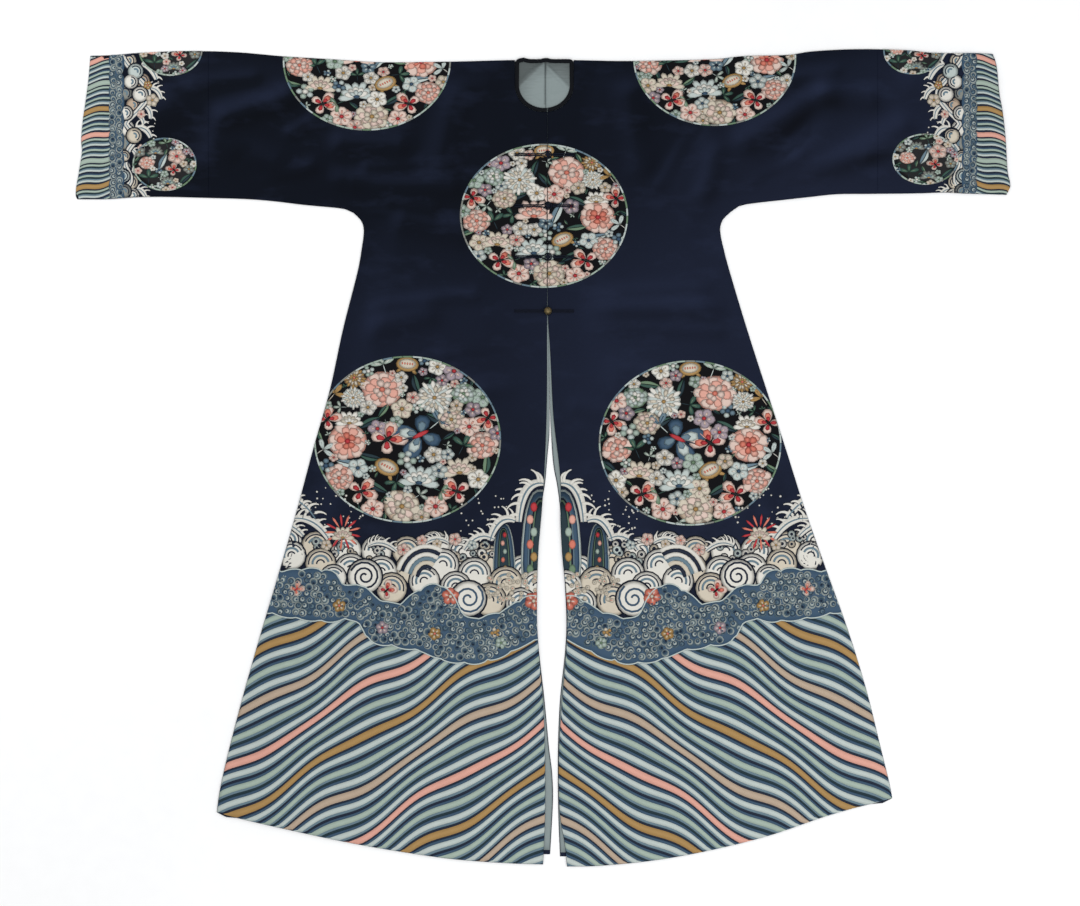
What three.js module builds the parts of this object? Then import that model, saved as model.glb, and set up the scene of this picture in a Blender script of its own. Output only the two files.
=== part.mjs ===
// A long-sleeved silk surcoat laid out flat, face up, as a set of thin cloth walls.
//
// Frame: millimetres, +Z up, +Y towards the neck, +X towards the wearer's left sleeve.
// The cloth rests on z = 0 and the origin is under the middle of the laid-out plan.
// Right and left are the wearer's, so the right front lies on the -X side.

import * as THREE from 'three';
import { mergeVertices } from 'three/addons/utils/BufferGeometryUtils.js';

// ---------------------------------------------------------------- driving sizes

const SEAM_GAP = 0.3; // pieces that are sewn together stop this far apart
const CLOTH_WALL = 1.3; // outer silk with its backing
const LINING_WALL = 1.0;
const LINING_FLOOR = CLOTH_WALL + SEAM_GAP;
const FRONT_FLOOR = LINING_FLOOR + LINING_WALL + SEAM_GAP; // underside of the fronts
const FRONT_FACE = FRONT_FLOOR + CLOTH_WALL; // upper side of the fronts, where they lie flat
const SEAM_DIP = FRONT_FLOOR - CLOTH_WALL - SEAM_GAP; // how far a front sinks to meet the back

const FOLD_RADIUS = FRONT_FACE / 2; // outer radius of the fold along shoulders and sleeves
const FOLD_HEIGHT = FRONT_FACE / 2; // height of the fold's own axis
const FOLD_END_ANGLE = 10; // degrees left open where front and back walls meet

const SLEEVE_SEAM_X = 575; // one loom width from the centre line
const SEAM_BAND = 14; // width over which a front slopes down to its seam
const LINING_INSET = 34; // the lining stops this far inside the side seams
const LINING_HEM_INSET = 14;
const VENT_INSET = 3; // the lining stops this far inside the vent's edges

const NECK = { x: 2.2, cornerY: 640, halfWidth: 50.6, depth: 46, backY: 679.7 };
const BINDING = { width: 4.6, height: 3.0, cornerRadius: 7 };

const CLOSURE = { x: 8.4, cordRadius: 1.15, legSpacing: 3.0, loopStart: -49, tabStart: 53 };
const CLOSURES = table(
  ['y', 'droop', 'width', 'height', 'eyeRadius', 'finish'],
  [520.6, 0, 9.5, 6.5, 6.1, 'cord'],
  [432.9, 0, 9.5, 6.5, 6.1, 'cord'],
  [345.2, 0, 9.5, 6.5, 6.1, 'cord'],
  [257.5, 5.5, 13.5, 13.5, 6.4, 'gilt'],
);

// ------------------------------------------------ outline of the cut, side by side

// Top outline along the shoulders and the upper edge of the sleeves.
const SHOULDER = table(
  ['x', 'y'],
  [-779, 691], [-735, 692.5], [-693, 696], [-610, 699], [-528, 697.2], [-445, 690],
  [-363, 685], [-280, 680], [-156, 681], [-50, 683.6],
  [50, 683.6], [132, 682], [215, 683], [300, 685.5], [345, 690.5], [421, 692.5],
  [463, 698.6], [545, 702.4], [628, 700.2], [669, 696], [752, 695.4], [775, 694],
);

// Lower edge of the sleeve, from the armpit out to the cuff.
const UNDERARM = {
  right: table(
    ['x', 'y'],
    [-326, 421], [-341, 427.6], [-363, 430.4], [-411, 434.8], [-459, 440.6], [-507, 444.6],
    [-580, 446.9], [-652, 448.6], [-700, 448], [-748, 444.8], [-798, 444.6],
  ),
  left: table(
    ['x', 'y'],
    [322, 422], [337, 432.6], [360, 437.2], [408, 442.7], [456, 448], [504, 453],
    [560, 453.6], [648, 454.6], [690, 456], [721, 454.4], [797, 452.2],
  ),
};

// Side seam, from the armpit down to the hem.
const SIDE = {
  right: table(
    ['y', 'x'],
    [421, -326], [408, -313], [391, -308], [357, -312], [323, -318], [220, -344],
    [116, -366.5], [13, -395.6], [-90, -423], [-193, -452.5], [-296, -483.3],
    [-400, -513], [-503, -540], [-572, -555.6], [-609.4, -560.7],
  ),
  left: table(
    ['y', 'x'],
    [422, 322], [409, 309], [391, 304.5], [357, 311], [323, 320], [220, 351],
    [116, 384.5], [13, 418], [-90, 450.6], [-193, 487], [-296, 524],
    [-400, 556], [-503, 581.5], [-560, 595.5], [-585.3, 600.3],
  ),
};

// The front's own edge at the centre: closed above, then the slit opens.
const FRONT_EDGE = {
  right: table(
    ['y', 'x'],
    [600, 6.9], [400, 6.9], [200, 6.9], [99, 6.6], [-4, 3.4], [-86, -1.7], [-169, -8.4],
    [-279, -10.3], [-334, -6.9], [-417, 0], [-503, 3.4], [-623, 3.4], [-698.8, 0],
  ),
  left: table(
    ['y', 'x'],
    [600, 7.9], [400, 7.9], [300, 8], [244, 8.6], [185, 12], [79, 17.2], [37, 21.5], [-4, 26.7],
    [-45, 30.4], [-107, 30], [-169, 33.2], [-227, 39], [-279, 41.3], [-334, 39.6], [-417, 32.7],
    [-499, 27.5], [-572, 26.7], [-623, 30.1], [-664, 37.4], [-702.4, 41.3],
  ),
};

// The back's own edge at the centre: the centre-back seam, then the vent.
const BACK_EDGE = {
  right: table(
    ['y', 'x'],
    [690, 3.2], [400, 6.9], [150, 10], [47, 11], [-4, 6.9], [-45, 3.4], [-86, -3.4],
    [-169, -10.3], [-279, -12], [-348, -5.2], [-417, 2.6], [-499, 10.3], [-541, 15.5],
    [-582, 17.2], [-623, 15.5], [-684, 12],
  ),
  left: table(
    ['y', 'x'],
    [690, 3.5], [400, 7.2], [150, 10.3], [47, 13.8], [-14, 18], [-45, 24], [-86, 29.2],
    [-169, 34.4], [-279, 40.3], [-334, 37.8], [-417, 29.2], [-499, 25.8],
    [-572, 25.8], [-623, 26.7], [-684, 29.2],
  ),
};

const HEM = {
  right: table(
    ['x', 'y'],
    [-560.7, -609.4], [-538, -616.3], [-442, -638.6], [-346, -659.3], [-249, -676.5],
    [-153, -690], [-57, -697], [0, -698.8],
  ),
  left: table(
    ['x', 'y'],
    [41.3, -702.4], [95, -701.4], [191, -692], [287, -675], [384, -651], [480, -618.5],
    [528, -604.2], [576, -592], [600.3, -585.3],
  ),
};
const BACK_HEM_SHORTER = { centre: 17, side: 7 }; // the back ends above the front hem

const CUFF = {
  right: table(
    ['y', 'x'],
    [444.6, -798], [457, -803.2], [488, -798.4], [529, -792.4], [550, -793.6], [581, -791],
    [612, -786.5], [650, -781.5], [691, -778],
  ),
  left: table(
    ['y', 'x'],
    [452, 797], [466, 803.2], [488, 798.6], [550, 794.6], [595, 789.5], [622, 784.5],
    [674, 779], [694, 772],
  ),
};

// Soft folds pressed into the fronts and sleeves: a line, its rise (or fall) and its spread.
const CREASES = table(
  ['x0', 'y0', 'x1', 'y1', 'rise', 'spread'],
  [-545, 586, -440, 620, 3.2, 22],
  [-514, 512, -455, 462, -1.6, 20],
  [-560, 540, -470, 500, 2.0, 26],
  [-345, 540, -250, 534, 2.2, 20],
  [-345, 468, -160, 466, 2.6, 22],
  [-720, 560, -640, 600, 2.4, 30],
  [-700, 505, -610, 480, 1.8, 26],
  [350, 545, 485, 624, 3.4, 24],
  [485, 624, 560, 618, 2.4, 22],
  [470, 603, 385, 468, -1.7, 22],
  [470, 480, 616, 566, 3.0, 24],
  [258, 566, 205, 492, -1.5, 22],
  [296, 520, 282, 455, 2.2, 20],
  [640, 640, 730, 600, 2.2, 30],
  [150, 620, 170, 500, 2.0, 26],
  [-150, 620, -175, 510, 1.8, 26],
  [60, 257, 336, 256, 3.0, 20],
  [-236, 408, -144, 386, 2.2, 22],
  [-201, 247, -287, 226, 2.4, 24],
  [-184, 150, -30, 168, -1.4, 22],
  [-250, 110, -120, 60, 1.8, 34],
  [140, 140, 290, 60, 2.0, 34],
  [-330, -60, -390, -330, 2.0, 46],
  [-180, -140, -200, -430, 1.8, 50],
  [190, -120, 240, -420, 2.0, 52],
  [400, -60, 470, -330, 2.2, 46],
  [-420, -420, -450, -590, 1.6, 40],
  [380, -430, 420, -600, 1.8, 44],
);
const RESTING_LIFT = 0.9; // the fronts ride this much above the layers below, between folds

const COLOUR = { silk: 0x20242f, lining: 0x97a198, binding: 0x14161d, cord: 0x171922, gilt: 0xa88e4a };

// ---------------------------------------------------------------- small helpers

function table(columns, ...rows) {
  return rows.map((row) => Object.fromEntries(columns.map((name, i) => [name, row[i]])));
}

const mix = (a, b, t) => a + (b - a) * t;

function smooth(from, to, value) {
  const t = THREE.MathUtils.clamp((value - from) / (to - from), 0, 1);
  return t * t * (3 - 2 * t);
}

// Smooth curve through a table: cubic pieces whose slopes are those of the neighbours' chord.
function follow(rows, key, result, at) {
  const ordered = rows[0][key] < rows[rows.length - 1][key] ? rows : [...rows].reverse();
  const last = ordered.length - 1;
  const value = THREE.MathUtils.clamp(at, ordered[0][key], ordered[last][key]);
  let i = 0;
  while (i < last - 1 && value > ordered[i + 1][key]) i += 1;
  const slope = (k) => {
    const before = ordered[Math.max(k - 1, 0)];
    const after = ordered[Math.min(k + 1, last)];
    return (after[result] - before[result]) / (after[key] - before[key]);
  };
  const a = ordered[i];
  const b = ordered[i + 1];
  const span = b[key] - a[key];
  const t = (value - a[key]) / span;
  const t2 = t * t;
  const t3 = t2 * t;
  return (2 * t3 - 3 * t2 + 1) * a[result] + (t3 - 2 * t2 + t) * span * slope(i)
    + (3 * t2 - 2 * t3) * b[result] + (t3 - t2) * span * slope(i + 1);
}

const sign = (side) => (side === 'right' ? -1 : 1);
const foldY = (x) => follow(SHOULDER, 'x', 'y', x) - FOLD_RADIUS;
const underarmY = (side, x) => follow(UNDERARM[side], 'x', 'y', x);
const sideX = (side, y) => follow(SIDE[side], 'y', 'x', y);
const cuffX = (side, y) => follow(CUFF[side], 'y', 'x', y);
const armpit = (side) => ({ x: UNDERARM[side][0].x, y: UNDERARM[side][0].y });

// ------------------------------------------------------------ height of the fronts

// Distance from a point of the plan to the side and underarm seam.
function seamDistance(side, x, y) {
  const corner = armpit(side);
  if (y < corner.y) return Math.abs(sideX(side, y)) - Math.abs(x);
  if (Math.abs(x) > Math.abs(corner.x)) return y - underarmY(side, x);
  return Math.hypot(x - corner.x, y - corner.y);
}

// Rise of one crease at a point: a bell across its line, faded out past its ends.
function creaseRise(crease, x, y) {
  const dx = crease.x1 - crease.x0;
  const dy = crease.y1 - crease.y0;
  const along = ((x - crease.x0) * dx + (y - crease.y0) * dy) / (dx * dx + dy * dy);
  const nearest = THREE.MathUtils.clamp(along, 0, 1);
  const away = Math.hypot(x - crease.x0 - nearest * dx, y - crease.y0 - nearest * dy);
  return crease.rise * Math.exp(-((away / crease.spread) ** 2));
}

// Upper face of the fronts and sleeves over a point of the plan.
function frontFace(side, x, y) {
  const toSeam = seamDistance(side, x, y);
  const toFold = foldY(x) - y;
  const toNeck = Math.hypot(x - NECK.x, Math.max(0, NECK.cornerY - y)) - NECK.halfWidth;
  const nearClosures = (1 - smooth(50, 120, Math.abs(x - CLOSURE.x))) * smooth(60, 180, y);
  const calm = smooth(SEAM_BAND, 70, toSeam) * smooth(4, 50, toFold) * smooth(8, 50, toNeck)
    * (1 - nearClosures);
  const folds = CREASES.reduce((sum, crease) => sum + creaseRise(crease, x, y), RESTING_LIFT);
  return FRONT_FACE - SEAM_DIP * (1 - smooth(0, SEAM_BAND, toSeam)) + Math.max(0, folds) * calm;
}

// ------------------------------------------------------------------- cloth walls

// Closed wall over a grid of points. point(i, j) gives the wall's two faces, keep(i, j)
// says which cells of the grid are cloth, and the free edges are closed by narrow strips.
function clothWall(rowCount, columnCount, point, keep = () => true) {
  const positions = [];
  const faces = [];
  const numbers = new Map();

  function corner(i, j) {
    const key = i * (columnCount + 1) + j;
    if (!numbers.has(key)) {
      const { outer, inner } = point(i, j);
      numbers.set(key, positions.length / 3);
      positions.push(...outer, ...inner);
    }
    return numbers.get(key);
  }

  const inside = (i, j) => i >= 0 && j >= 0 && i < rowCount && j < columnCount && keep(i, j);
  const quad = (a, b, c, d) => faces.push(a, b, c, a, c, d);

  for (let i = 0; i < rowCount; i += 1) {
    for (let j = 0; j < columnCount; j += 1) {
      if (!inside(i, j)) continue;
      const a = corner(i, j);
      const b = corner(i, j + 1);
      const c = corner(i + 1, j + 1);
      const d = corner(i + 1, j);
      quad(a, b, c, d);
      quad(a + 1, d + 1, c + 1, b + 1);
      if (!inside(i - 1, j)) quad(b, a, a + 1, b + 1);
      if (!inside(i, j + 1)) quad(c, b, b + 1, c + 1);
      if (!inside(i + 1, j)) quad(d, c, c + 1, d + 1);
      if (!inside(i, j - 1)) quad(a, d, d + 1, a + 1);
    }
  }
  return closedGeometry(positions, faces);
}

// Geometry from shared corners, turned so that its faces point outwards.
function closedGeometry(positions, faces) {
  const vertex = (n) => new THREE.Vector3().fromArray(positions, 3 * n);
  let volume = 0;
  for (let f = 0; f < faces.length; f += 3) {
    const [a, b, c] = [vertex(faces[f]), vertex(faces[f + 1]), vertex(faces[f + 2])];
    volume += a.dot(b.cross(c));
  }
  if (volume < 0) faces.reverse();
  const geometry = new THREE.BufferGeometry();
  geometry.setAttribute('position', new THREE.Float32BufferAttribute(positions, 3));
  geometry.setIndex(faces);
  geometry.computeVertexNormals();
  return geometry;
}

// Both faces of a wall where it turns over the fold: angle 90 is the front, -90 the back.
function foldPoint(x, angle, axisY = foldY(x)) {
  const turn = THREE.MathUtils.degToRad(angle);
  const on = (radius) => [x, axisY + radius * Math.cos(turn), FOLD_HEIGHT + radius * Math.sin(turn)];
  return { outer: on(FOLD_RADIUS), inner: on(FOLD_RADIUS - CLOTH_WALL) };
}

const backPoint = (x, y) => ({ outer: [x, y, 0], inner: [x, y, CLOTH_WALL] });

function frontPoint(side, x, y) {
  const face = frontFace(side, x, y);
  return { outer: [x, y, face], inner: [x, y, face - CLOTH_WALL] };
}

// Levels from the fold (0) to the neck's corner (1), and from there to the underarm (2).
const FRONT_LEVELS = [0, 0.5, 1, 1.17, 1.34, 1.51, 1.68, 1.84, 'seam band', 2];
const BACK_LEVELS = [0, 1, 1.5, 2];

// Shares of the way from the armpit (0) to the hem (1): close rows round the armpit's curve first.
const ARMPIT_SHARES = [0, 0.012, 0.028];
function downShares(evenRows) {
  const start = ARMPIT_SHARES[ARMPIT_SHARES.length - 1];
  return [...ARMPIT_SHARES, ...Array.from({ length: evenRows }, (_, k) => mix(start, 1, (k + 1) / evenRows))];
}

function levelY(level, top, bottom) {
  if (level === 'seam band') return bottom + SEAM_BAND;
  if (level <= 1) return mix(top, NECK.cornerY, level);
  return mix(NECK.cornerY, bottom, level - 1);
}

const NECK_STEPS = 6; // columns of the panel under the neck opening
const neckOffset = (j) => NECK.halfWidth * Math.sin((j / NECK_STEPS) * (Math.PI / 2));
const neckEdgeY = (x) => {
  const across = Math.min(1, Math.abs(x - NECK.x) / NECK.halfWidth);
  return NECK.cornerY - NECK.depth * Math.sqrt(1 - across * across);
};

// The plan of one panel: where the grid's columns and rows lie on the cloth.
function panelPlan(side, layer) {
  const front = layer === 'front';
  const edge = (front ? FRONT_EDGE : BACK_EDGE)[side];
  const corner = armpit(side);
  const s = sign(side);
  const edgeX = (y) => follow(edge, 'y', 'x', y);
  const bodyX = front ? [85, 130, 175, 220, 265] : [120, 190, 260];
  const rootCount = front ? 6 : 3;
  const rootEnd = s * SLEEVE_SEAM_X;
  const rootX = Array.from({ length: rootCount }, (_, k) => mix(corner.x, rootEnd, (k + 1) / rootCount));

  // Columns at the armpit's level: under the neck, across the body, then out to the sleeve.
  const columns = [edgeX(corner.y)];
  for (let j = 1; j <= NECK_STEPS; j += 1) columns.push(NECK.x + s * neckOffset(j));
  for (const offset of bodyX) columns.push(NECK.x + s * offset);
  columns.push(corner.x - s * SEAM_BAND, corner.x);
  const sideColumn = columns.length - 1;
  columns.push(...rootX);

  const hemY = (x) => {
    const outline = follow(HEM[side], 'x', 'y', x);
    if (front) return outline;
    const out = smooth(0, 500, Math.abs(x));
    return outline + mix(BACK_HEM_SHORTER.centre, BACK_HEM_SHORTER.side, out);
  };
  const share = columns.slice(0, sideColumn + 1).map((x) => (x - columns[0]) / (corner.x - columns[0]));

  // A point of the body below the armpit, at a share of the way down to the hem.
  function bodyPoint(down, j) {
    const hemSideX = SIDE[side][SIDE[side].length - 1].x;
    const hemEdgeX = edge[edge.length - 1].x;
    const y = mix(corner.y, hemY(mix(hemEdgeX, hemSideX, share[j])), down);
    const outer = sideX(side, y);
    const inner = edgeX(y);
    if (j === sideColumn - 1) return [outer - s * SEAM_BAND, y];
    return [mix(inner, outer, share[j]), y];
  }

  // A point of the band between the shoulder fold and the armpit's level.
  function bandPoint(level, j) {
    const x = columns[j];
    const bottom = j <= sideColumn ? corner.y : underarmY(side, x);
    if (j > NECK_STEPS) return [x, levelY(level, foldY(x), bottom)];
    if (front) return [x, levelY(level, foldY(x), bottom) + neckBend(level, x, bottom)];
    const top = j < NECK_STEPS ? NECK.backY : foldY(x);
    return [x, levelY(level, top, bottom)];
  }

  // Under the neck the front's rows bend from the curved neck edge to a straight line.
  function neckBend(level, x, bottom) {
    if (level === 'seam band') return 0;
    const fade = level <= 1 ? 1 : (levelY(level, 0, bottom) - bottom) / (NECK.cornerY - bottom);
    return (neckEdgeY(x) - NECK.cornerY) * fade;
  }

  return { columns, sideColumn, bodyPoint, bandPoint };
}

// One front or back, from the shoulder fold to the hem, with the sleeve's root.
function bodyPanel(side, layer) {
  const front = layer === 'front';
  const plan = panelPlan(side, layer);
  const turn = front ? 1 : -1;
  const arc = [FOLD_END_ANGLE * turn, 50 * turn];
  const levels = front ? FRONT_LEVELS : BACK_LEVELS;
  const down = downShares(front ? 25 : 12);
  const rowCount = arc.length + levels.length - 1 + down.length - 1;
  const columnCount = plan.columns.length - 1;
  const armpitRow = arc.length + levels.length - 1;
  const neckRow = arc.length + levels.indexOf(1);
  const place = (x, y) => (front ? frontPoint(side, x, y) : backPoint(x, y));

  function point(i, j) {
    if (i < arc.length) return foldPoint(plan.columns[j], arc[i]);
    if (i <= armpitRow) return place(...plan.bandPoint(levels[i - arc.length], j));
    return place(...plan.bodyPoint(down[i - armpitRow], j));
  }
  function keep(i, j) {
    if (i >= armpitRow) return j < plan.sideColumn;
    if (j >= NECK_STEPS) return true;
    return front ? i >= neckRow : i >= arc.length;
  }
  return clothWall(rowCount, columnCount, point, keep);
}

// The outer sleeve: one piece folded over the top, its two lower edges meeting underneath.
function outerSleeve(side) {
  const s = sign(side);
  const start = s * (SLEEVE_SEAM_X + SEAM_GAP);
  const arc = [-60, -30, 0, 30, 60];
  const back = [2, 1.5, 1, 0];
  const stations = [
    ...back.map((level) => ({ layer: 'back', level })),
    ...arc.map((angle) => ({ layer: 'fold', angle })),
    ...FRONT_LEVELS.map((level) => ({ layer: 'front', level })),
  ];
  const lengthSteps = 6;
  const edgeY = (end, level) => levelY(level, foldY(end), underarmY(side, end));

  function point(i, j) {
    const station = stations[i];
    const out = j / lengthSteps;
    if (station.layer === 'fold') {
      const x = mix(start, cuffX(side, foldY(s * 778)), out);
      return foldPoint(x, station.angle);
    }
    const cuffEnd = cuffX(side, edgeY(s * 790, station.level));
    const x = mix(start, cuffEnd, out);
    const y = edgeY(x, station.level);
    return station.layer === 'back' ? backPoint(x, y) : frontPoint(side, x, y);
  }
  return clothWall(stations.length - 1, lengthSteps, point);
}

// Half of the back's lining: one flat wall between the back and the front.
function liningPanel(side) {
  const s = sign(side);
  const corner = armpit(side);
  const shares = [0, 0.15, 0.35, 0.6, 0.8, 1];
  const bandRows = 3;
  const bodyRows = 13;
  const edgeX = (y) => {
    const x = follow(BACK_EDGE[side], 'y', 'x', y);
    return x + s * VENT_INSET * (1 - smooth(20, 60, y));
  };
  const outerX = (y) => (y > corner.y ? corner.x : sideX(side, y)) - s * LINING_INSET;

  function point(i, j) {
    const share = shares[j];
    let y;
    if (i <= bandRows) {
      const x = mix(edgeX(corner.y), outerX(corner.y + 1), share);
      const top = Math.abs(x - NECK.x) < NECK.halfWidth ? NECK.backY : foldY(x) - 2;
      y = mix(top, corner.y, i / bandRows);
    } else {
      const hemX = mix(s * 20, SIDE[side][SIDE[side].length - 1].x, share);
      const hem = follow(HEM[side], 'x', 'y', hemX) + BACK_HEM_SHORTER.centre + LINING_HEM_INSET;
      y = mix(corner.y, hem, (i - bandRows) / bodyRows);
    }
    const x = mix(edgeX(y), outerX(y), share);
    return {
      outer: [x, y, LINING_FLOOR + LINING_WALL],
      inner: [x, y, LINING_FLOOR],
    };
  }
  return clothWall(bandRows + bodyRows, shares.length - 1, point);
}

// ------------------------------------------------------------- rolls and cords

// Closed roll of an oval section along a path, with flat ends.
function roll(path, width, height, sides) {
  const positions = [];
  const faces = [];
  path.forEach((p, i) => {
    const before = path[Math.max(i - 1, 0)];
    const after = path[Math.min(i + 1, path.length - 1)];
    const along = new THREE.Vector3().subVectors(after, before).setZ(0).normalize();
    const across = new THREE.Vector3(along.y, -along.x, 0);
    for (let k = 0; k < sides; k += 1) {
      const turn = ((k + 0.5) / sides) * 2 * Math.PI;
      const q = p.clone().addScaledVector(across, (width / 2) * Math.cos(turn));
      positions.push(q.x, q.y, q.z + (height / 2) * Math.sin(turn));
    }
  });
  for (let i = 0; i < path.length - 1; i += 1) {
    for (let k = 0; k < sides; k += 1) {
      const a = i * sides + k;
      const b = i * sides + ((k + 1) % sides);
      faces.push(a, b, b + sides, a, b + sides, a + sides);
    }
  }
  const end = (path.length - 1) * sides;
  for (let k = 1; k < sides - 1; k += 1) {
    faces.push(0, k + 1, k);
    faces.push(end, end + k, end + k + 1);
  }
  return closedGeometry(positions, faces);
}

const arcPoints = (cx, cy, rx, ry, from, to, steps) => Array.from({ length: steps + 1 }, (_, k) => {
  const turn = THREE.MathUtils.degToRad(mix(from, to, k / steps));
  return [cx + rx * Math.cos(turn), cy + ry * Math.sin(turn)];
});

// The piped binding: down one side of the neck from the centre front, round the back neck
// and back to the centre front.
function neckBinding() {
  const chordDip = NECK.halfWidth * (1 - Math.cos(Math.PI / 4 / NECK_STEPS)); // the panel's edge is faceted
  const reach = BINDING.width / 2 + SEAM_GAP + chordDip;
  const halfWidth = NECK.halfWidth - reach;
  const depth = NECK.depth - reach;
  const r = BINDING.cornerRadius;
  const topY = NECK.backY + 0.6;
  const openAngle = 7; // degrees either side of the centre front
  const route = [
    ...arcPoints(NECK.x, NECK.cornerY, halfWidth, depth, 270 - openAngle + 3, 180, 11),
    ...arcPoints(NECK.x - halfWidth + r, topY - r, r, r, 180, 90, 3),
    ...arcPoints(NECK.x + halfWidth - r, topY - r, r, r, 90, 0, 3),
    ...arcPoints(NECK.x, NECK.cornerY, halfWidth, depth, 0, -90 + openAngle + 3, 11),
  ];
  const z = LINING_FLOOR + LINING_WALL + SEAM_GAP + BINDING.height / 2;
  const path = route.map(([x, y]) => new THREE.Vector3(x, y, z));
  return roll(path, BINDING.width, BINDING.height, 8);
}

// A doubled cord on the front's face: two legs side by side and a round turn at the end.
function hairpin(side, startX, turnX, y, turnRadius) {
  const toward = Math.sign(turnX - startX);
  const leg = CLOSURE.legSpacing / 2;
  const neckX = turnX - toward * (turnRadius + 5);
  const opening = toward > 0 ? 150 : 30;
  const round = arcPoints(turnX, y, turnRadius, turnRadius, opening, opening - toward * 300, 12);
  const route = turnRadius > leg + 0.5
    ? [[startX, y + leg], [mix(startX, neckX, 0.5), y + leg], [neckX, y + leg], ...round,
      [neckX, y - leg], [mix(startX, neckX, 0.5), y - leg], [startX, y - leg]]
    : [[startX, y + leg], [mix(startX, turnX, 0.5), y + leg],
      ...arcPoints(turnX, y, leg, leg, 90, 90 - toward * 180, 6),
      [mix(startX, turnX, 0.5), y - leg], [startX, y - leg]];
  const lift = CLOSURE.cordRadius + SEAM_GAP;
  const path = route.map(([x, yy]) => new THREE.Vector3(x, yy, frontFace(side, x, yy) + lift));
  return roll(path, 2 * CLOSURE.cordRadius, 2 * CLOSURE.cordRadius, 6);
}

// A ball or knot: an oval turned about its own upright axis.
function buttonBall(width, height) {
  const profile = Array.from({ length: 9 }, (_, k) => {
    const turn = mix(-90, 90, k / 8) * (Math.PI / 180);
    const radius = k === 0 || k === 8 ? 0 : (width / 2) * Math.cos(turn);
    return new THREE.Vector2(radius, (height / 2) * Math.sin(turn));
  });
  const turned = new THREE.LatheGeometry(profile, 16);
  turned.deleteAttribute('normal');
  turned.deleteAttribute('uv');
  const ball = mergeVertices(turned, 1e-4);
  const index = [];
  const corners = ball.index.array;
  for (let f = 0; f < corners.length; f += 3) {
    const [a, b, c] = [corners[f], corners[f + 1], corners[f + 2]];
    if (a !== b && b !== c && c !== a) index.push(a, b, c);
  }
  const upright = Array.from(ball.attributes.position.array);
  for (let p = 0; p < upright.length; p += 3) {
    const [y, z] = [upright[p + 1], upright[p + 2]];
    upright[p + 1] = -z;
    upright[p + 2] = y;
  }
  return closedGeometry(upright, index);
}

// ----------------------------------------------------------------- the surcoat

function material(color, roughness, metalness = 0) {
  return new THREE.MeshStandardMaterial({ color, roughness, metalness });
}
const silk = material(COLOUR.silk, 0.6);
const liningSilk = material(COLOUR.lining, 0.7);
const bindingSilk = material(COLOUR.binding, 0.6);
const cordSilk = material(COLOUR.cord, 0.65);
const gilt = material(COLOUR.gilt, 0.35, 1);

const surcoat = new THREE.Group();
surcoat.name = 'surcoat';

function add(name, geometry, finish, position = [0, 0, 0]) {
  const mesh = new THREE.Mesh(geometry, finish);
  mesh.name = name;
  mesh.position.set(...position);
  surcoat.add(mesh);
}

for (const side of ['right', 'left']) {
  add(`front_${side}`, bodyPanel(side, 'front'), silk);
  add(`back_${side}`, bodyPanel(side, 'back'), silk);
  add(`sleeve_${side}`, outerSleeve(side), silk);
  add(`lining_${side}`, liningPanel(side), liningSilk);
}
add('neckband', neckBinding(), bindingSilk);

CLOSURES.forEach((closure, k) => {
  const ballY = closure.y - closure.droop;
  const tabEnd = CLOSURE.x + closure.eyeRadius + 2 * CLOSURE.cordRadius + SEAM_GAP + CLOSURE.legSpacing / 2;
  const finish = closure.finish === 'gilt' ? gilt : cordSilk;
  const height = FRONT_FACE + SEAM_GAP + closure.height / 2;
  add(`loop_${k + 1}`, hairpin('right', CLOSURE.loopStart, CLOSURE.x, ballY, closure.eyeRadius), cordSilk);
  add(`tab_${k + 1}`, hairpin('left', CLOSURE.tabStart, tabEnd, ballY, CLOSURE.legSpacing / 2), cordSilk);
  add(`button_${k + 1}`, buttonBall(closure.width, closure.height), finish, [CLOSURE.x, ballY, height]);
});

export default surcoat;
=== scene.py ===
"""A silk surcoat laid out flat: cloth shells, woven ornament, lining, neck binding and closures."""

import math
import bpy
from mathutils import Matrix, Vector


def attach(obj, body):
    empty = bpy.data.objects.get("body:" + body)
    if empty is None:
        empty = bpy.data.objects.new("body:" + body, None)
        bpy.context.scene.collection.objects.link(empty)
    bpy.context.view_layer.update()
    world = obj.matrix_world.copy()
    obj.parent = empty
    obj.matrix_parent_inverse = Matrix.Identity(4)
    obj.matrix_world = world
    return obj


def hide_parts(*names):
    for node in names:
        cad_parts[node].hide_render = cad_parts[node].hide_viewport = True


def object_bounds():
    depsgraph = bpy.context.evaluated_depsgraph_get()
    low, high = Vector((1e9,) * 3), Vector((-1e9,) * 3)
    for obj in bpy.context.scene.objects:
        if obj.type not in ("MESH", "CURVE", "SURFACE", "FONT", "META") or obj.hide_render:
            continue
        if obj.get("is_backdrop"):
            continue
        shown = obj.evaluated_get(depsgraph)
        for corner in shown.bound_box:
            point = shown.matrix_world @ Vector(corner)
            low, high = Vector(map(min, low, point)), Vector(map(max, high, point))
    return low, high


bl_info = {
    "name": "Surcoat laid flat",
    "version": (1, 0, 0),
    "blender": (4, 5, 0),
    "location": "View3D > Sidebar > Surcoat",
    "description": "Builds the cloth, woven ornament and closures of a silk surcoat laid out flat",
    "category": "Object",
}

from functools import partial

import bpy
import numpy as np

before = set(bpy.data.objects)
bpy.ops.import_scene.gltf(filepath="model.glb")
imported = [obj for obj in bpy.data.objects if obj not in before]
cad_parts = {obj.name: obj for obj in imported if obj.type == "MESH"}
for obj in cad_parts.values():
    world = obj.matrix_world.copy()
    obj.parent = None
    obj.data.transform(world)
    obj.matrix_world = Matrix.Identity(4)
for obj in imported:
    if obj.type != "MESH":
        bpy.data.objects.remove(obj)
CAD_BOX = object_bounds()

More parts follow.
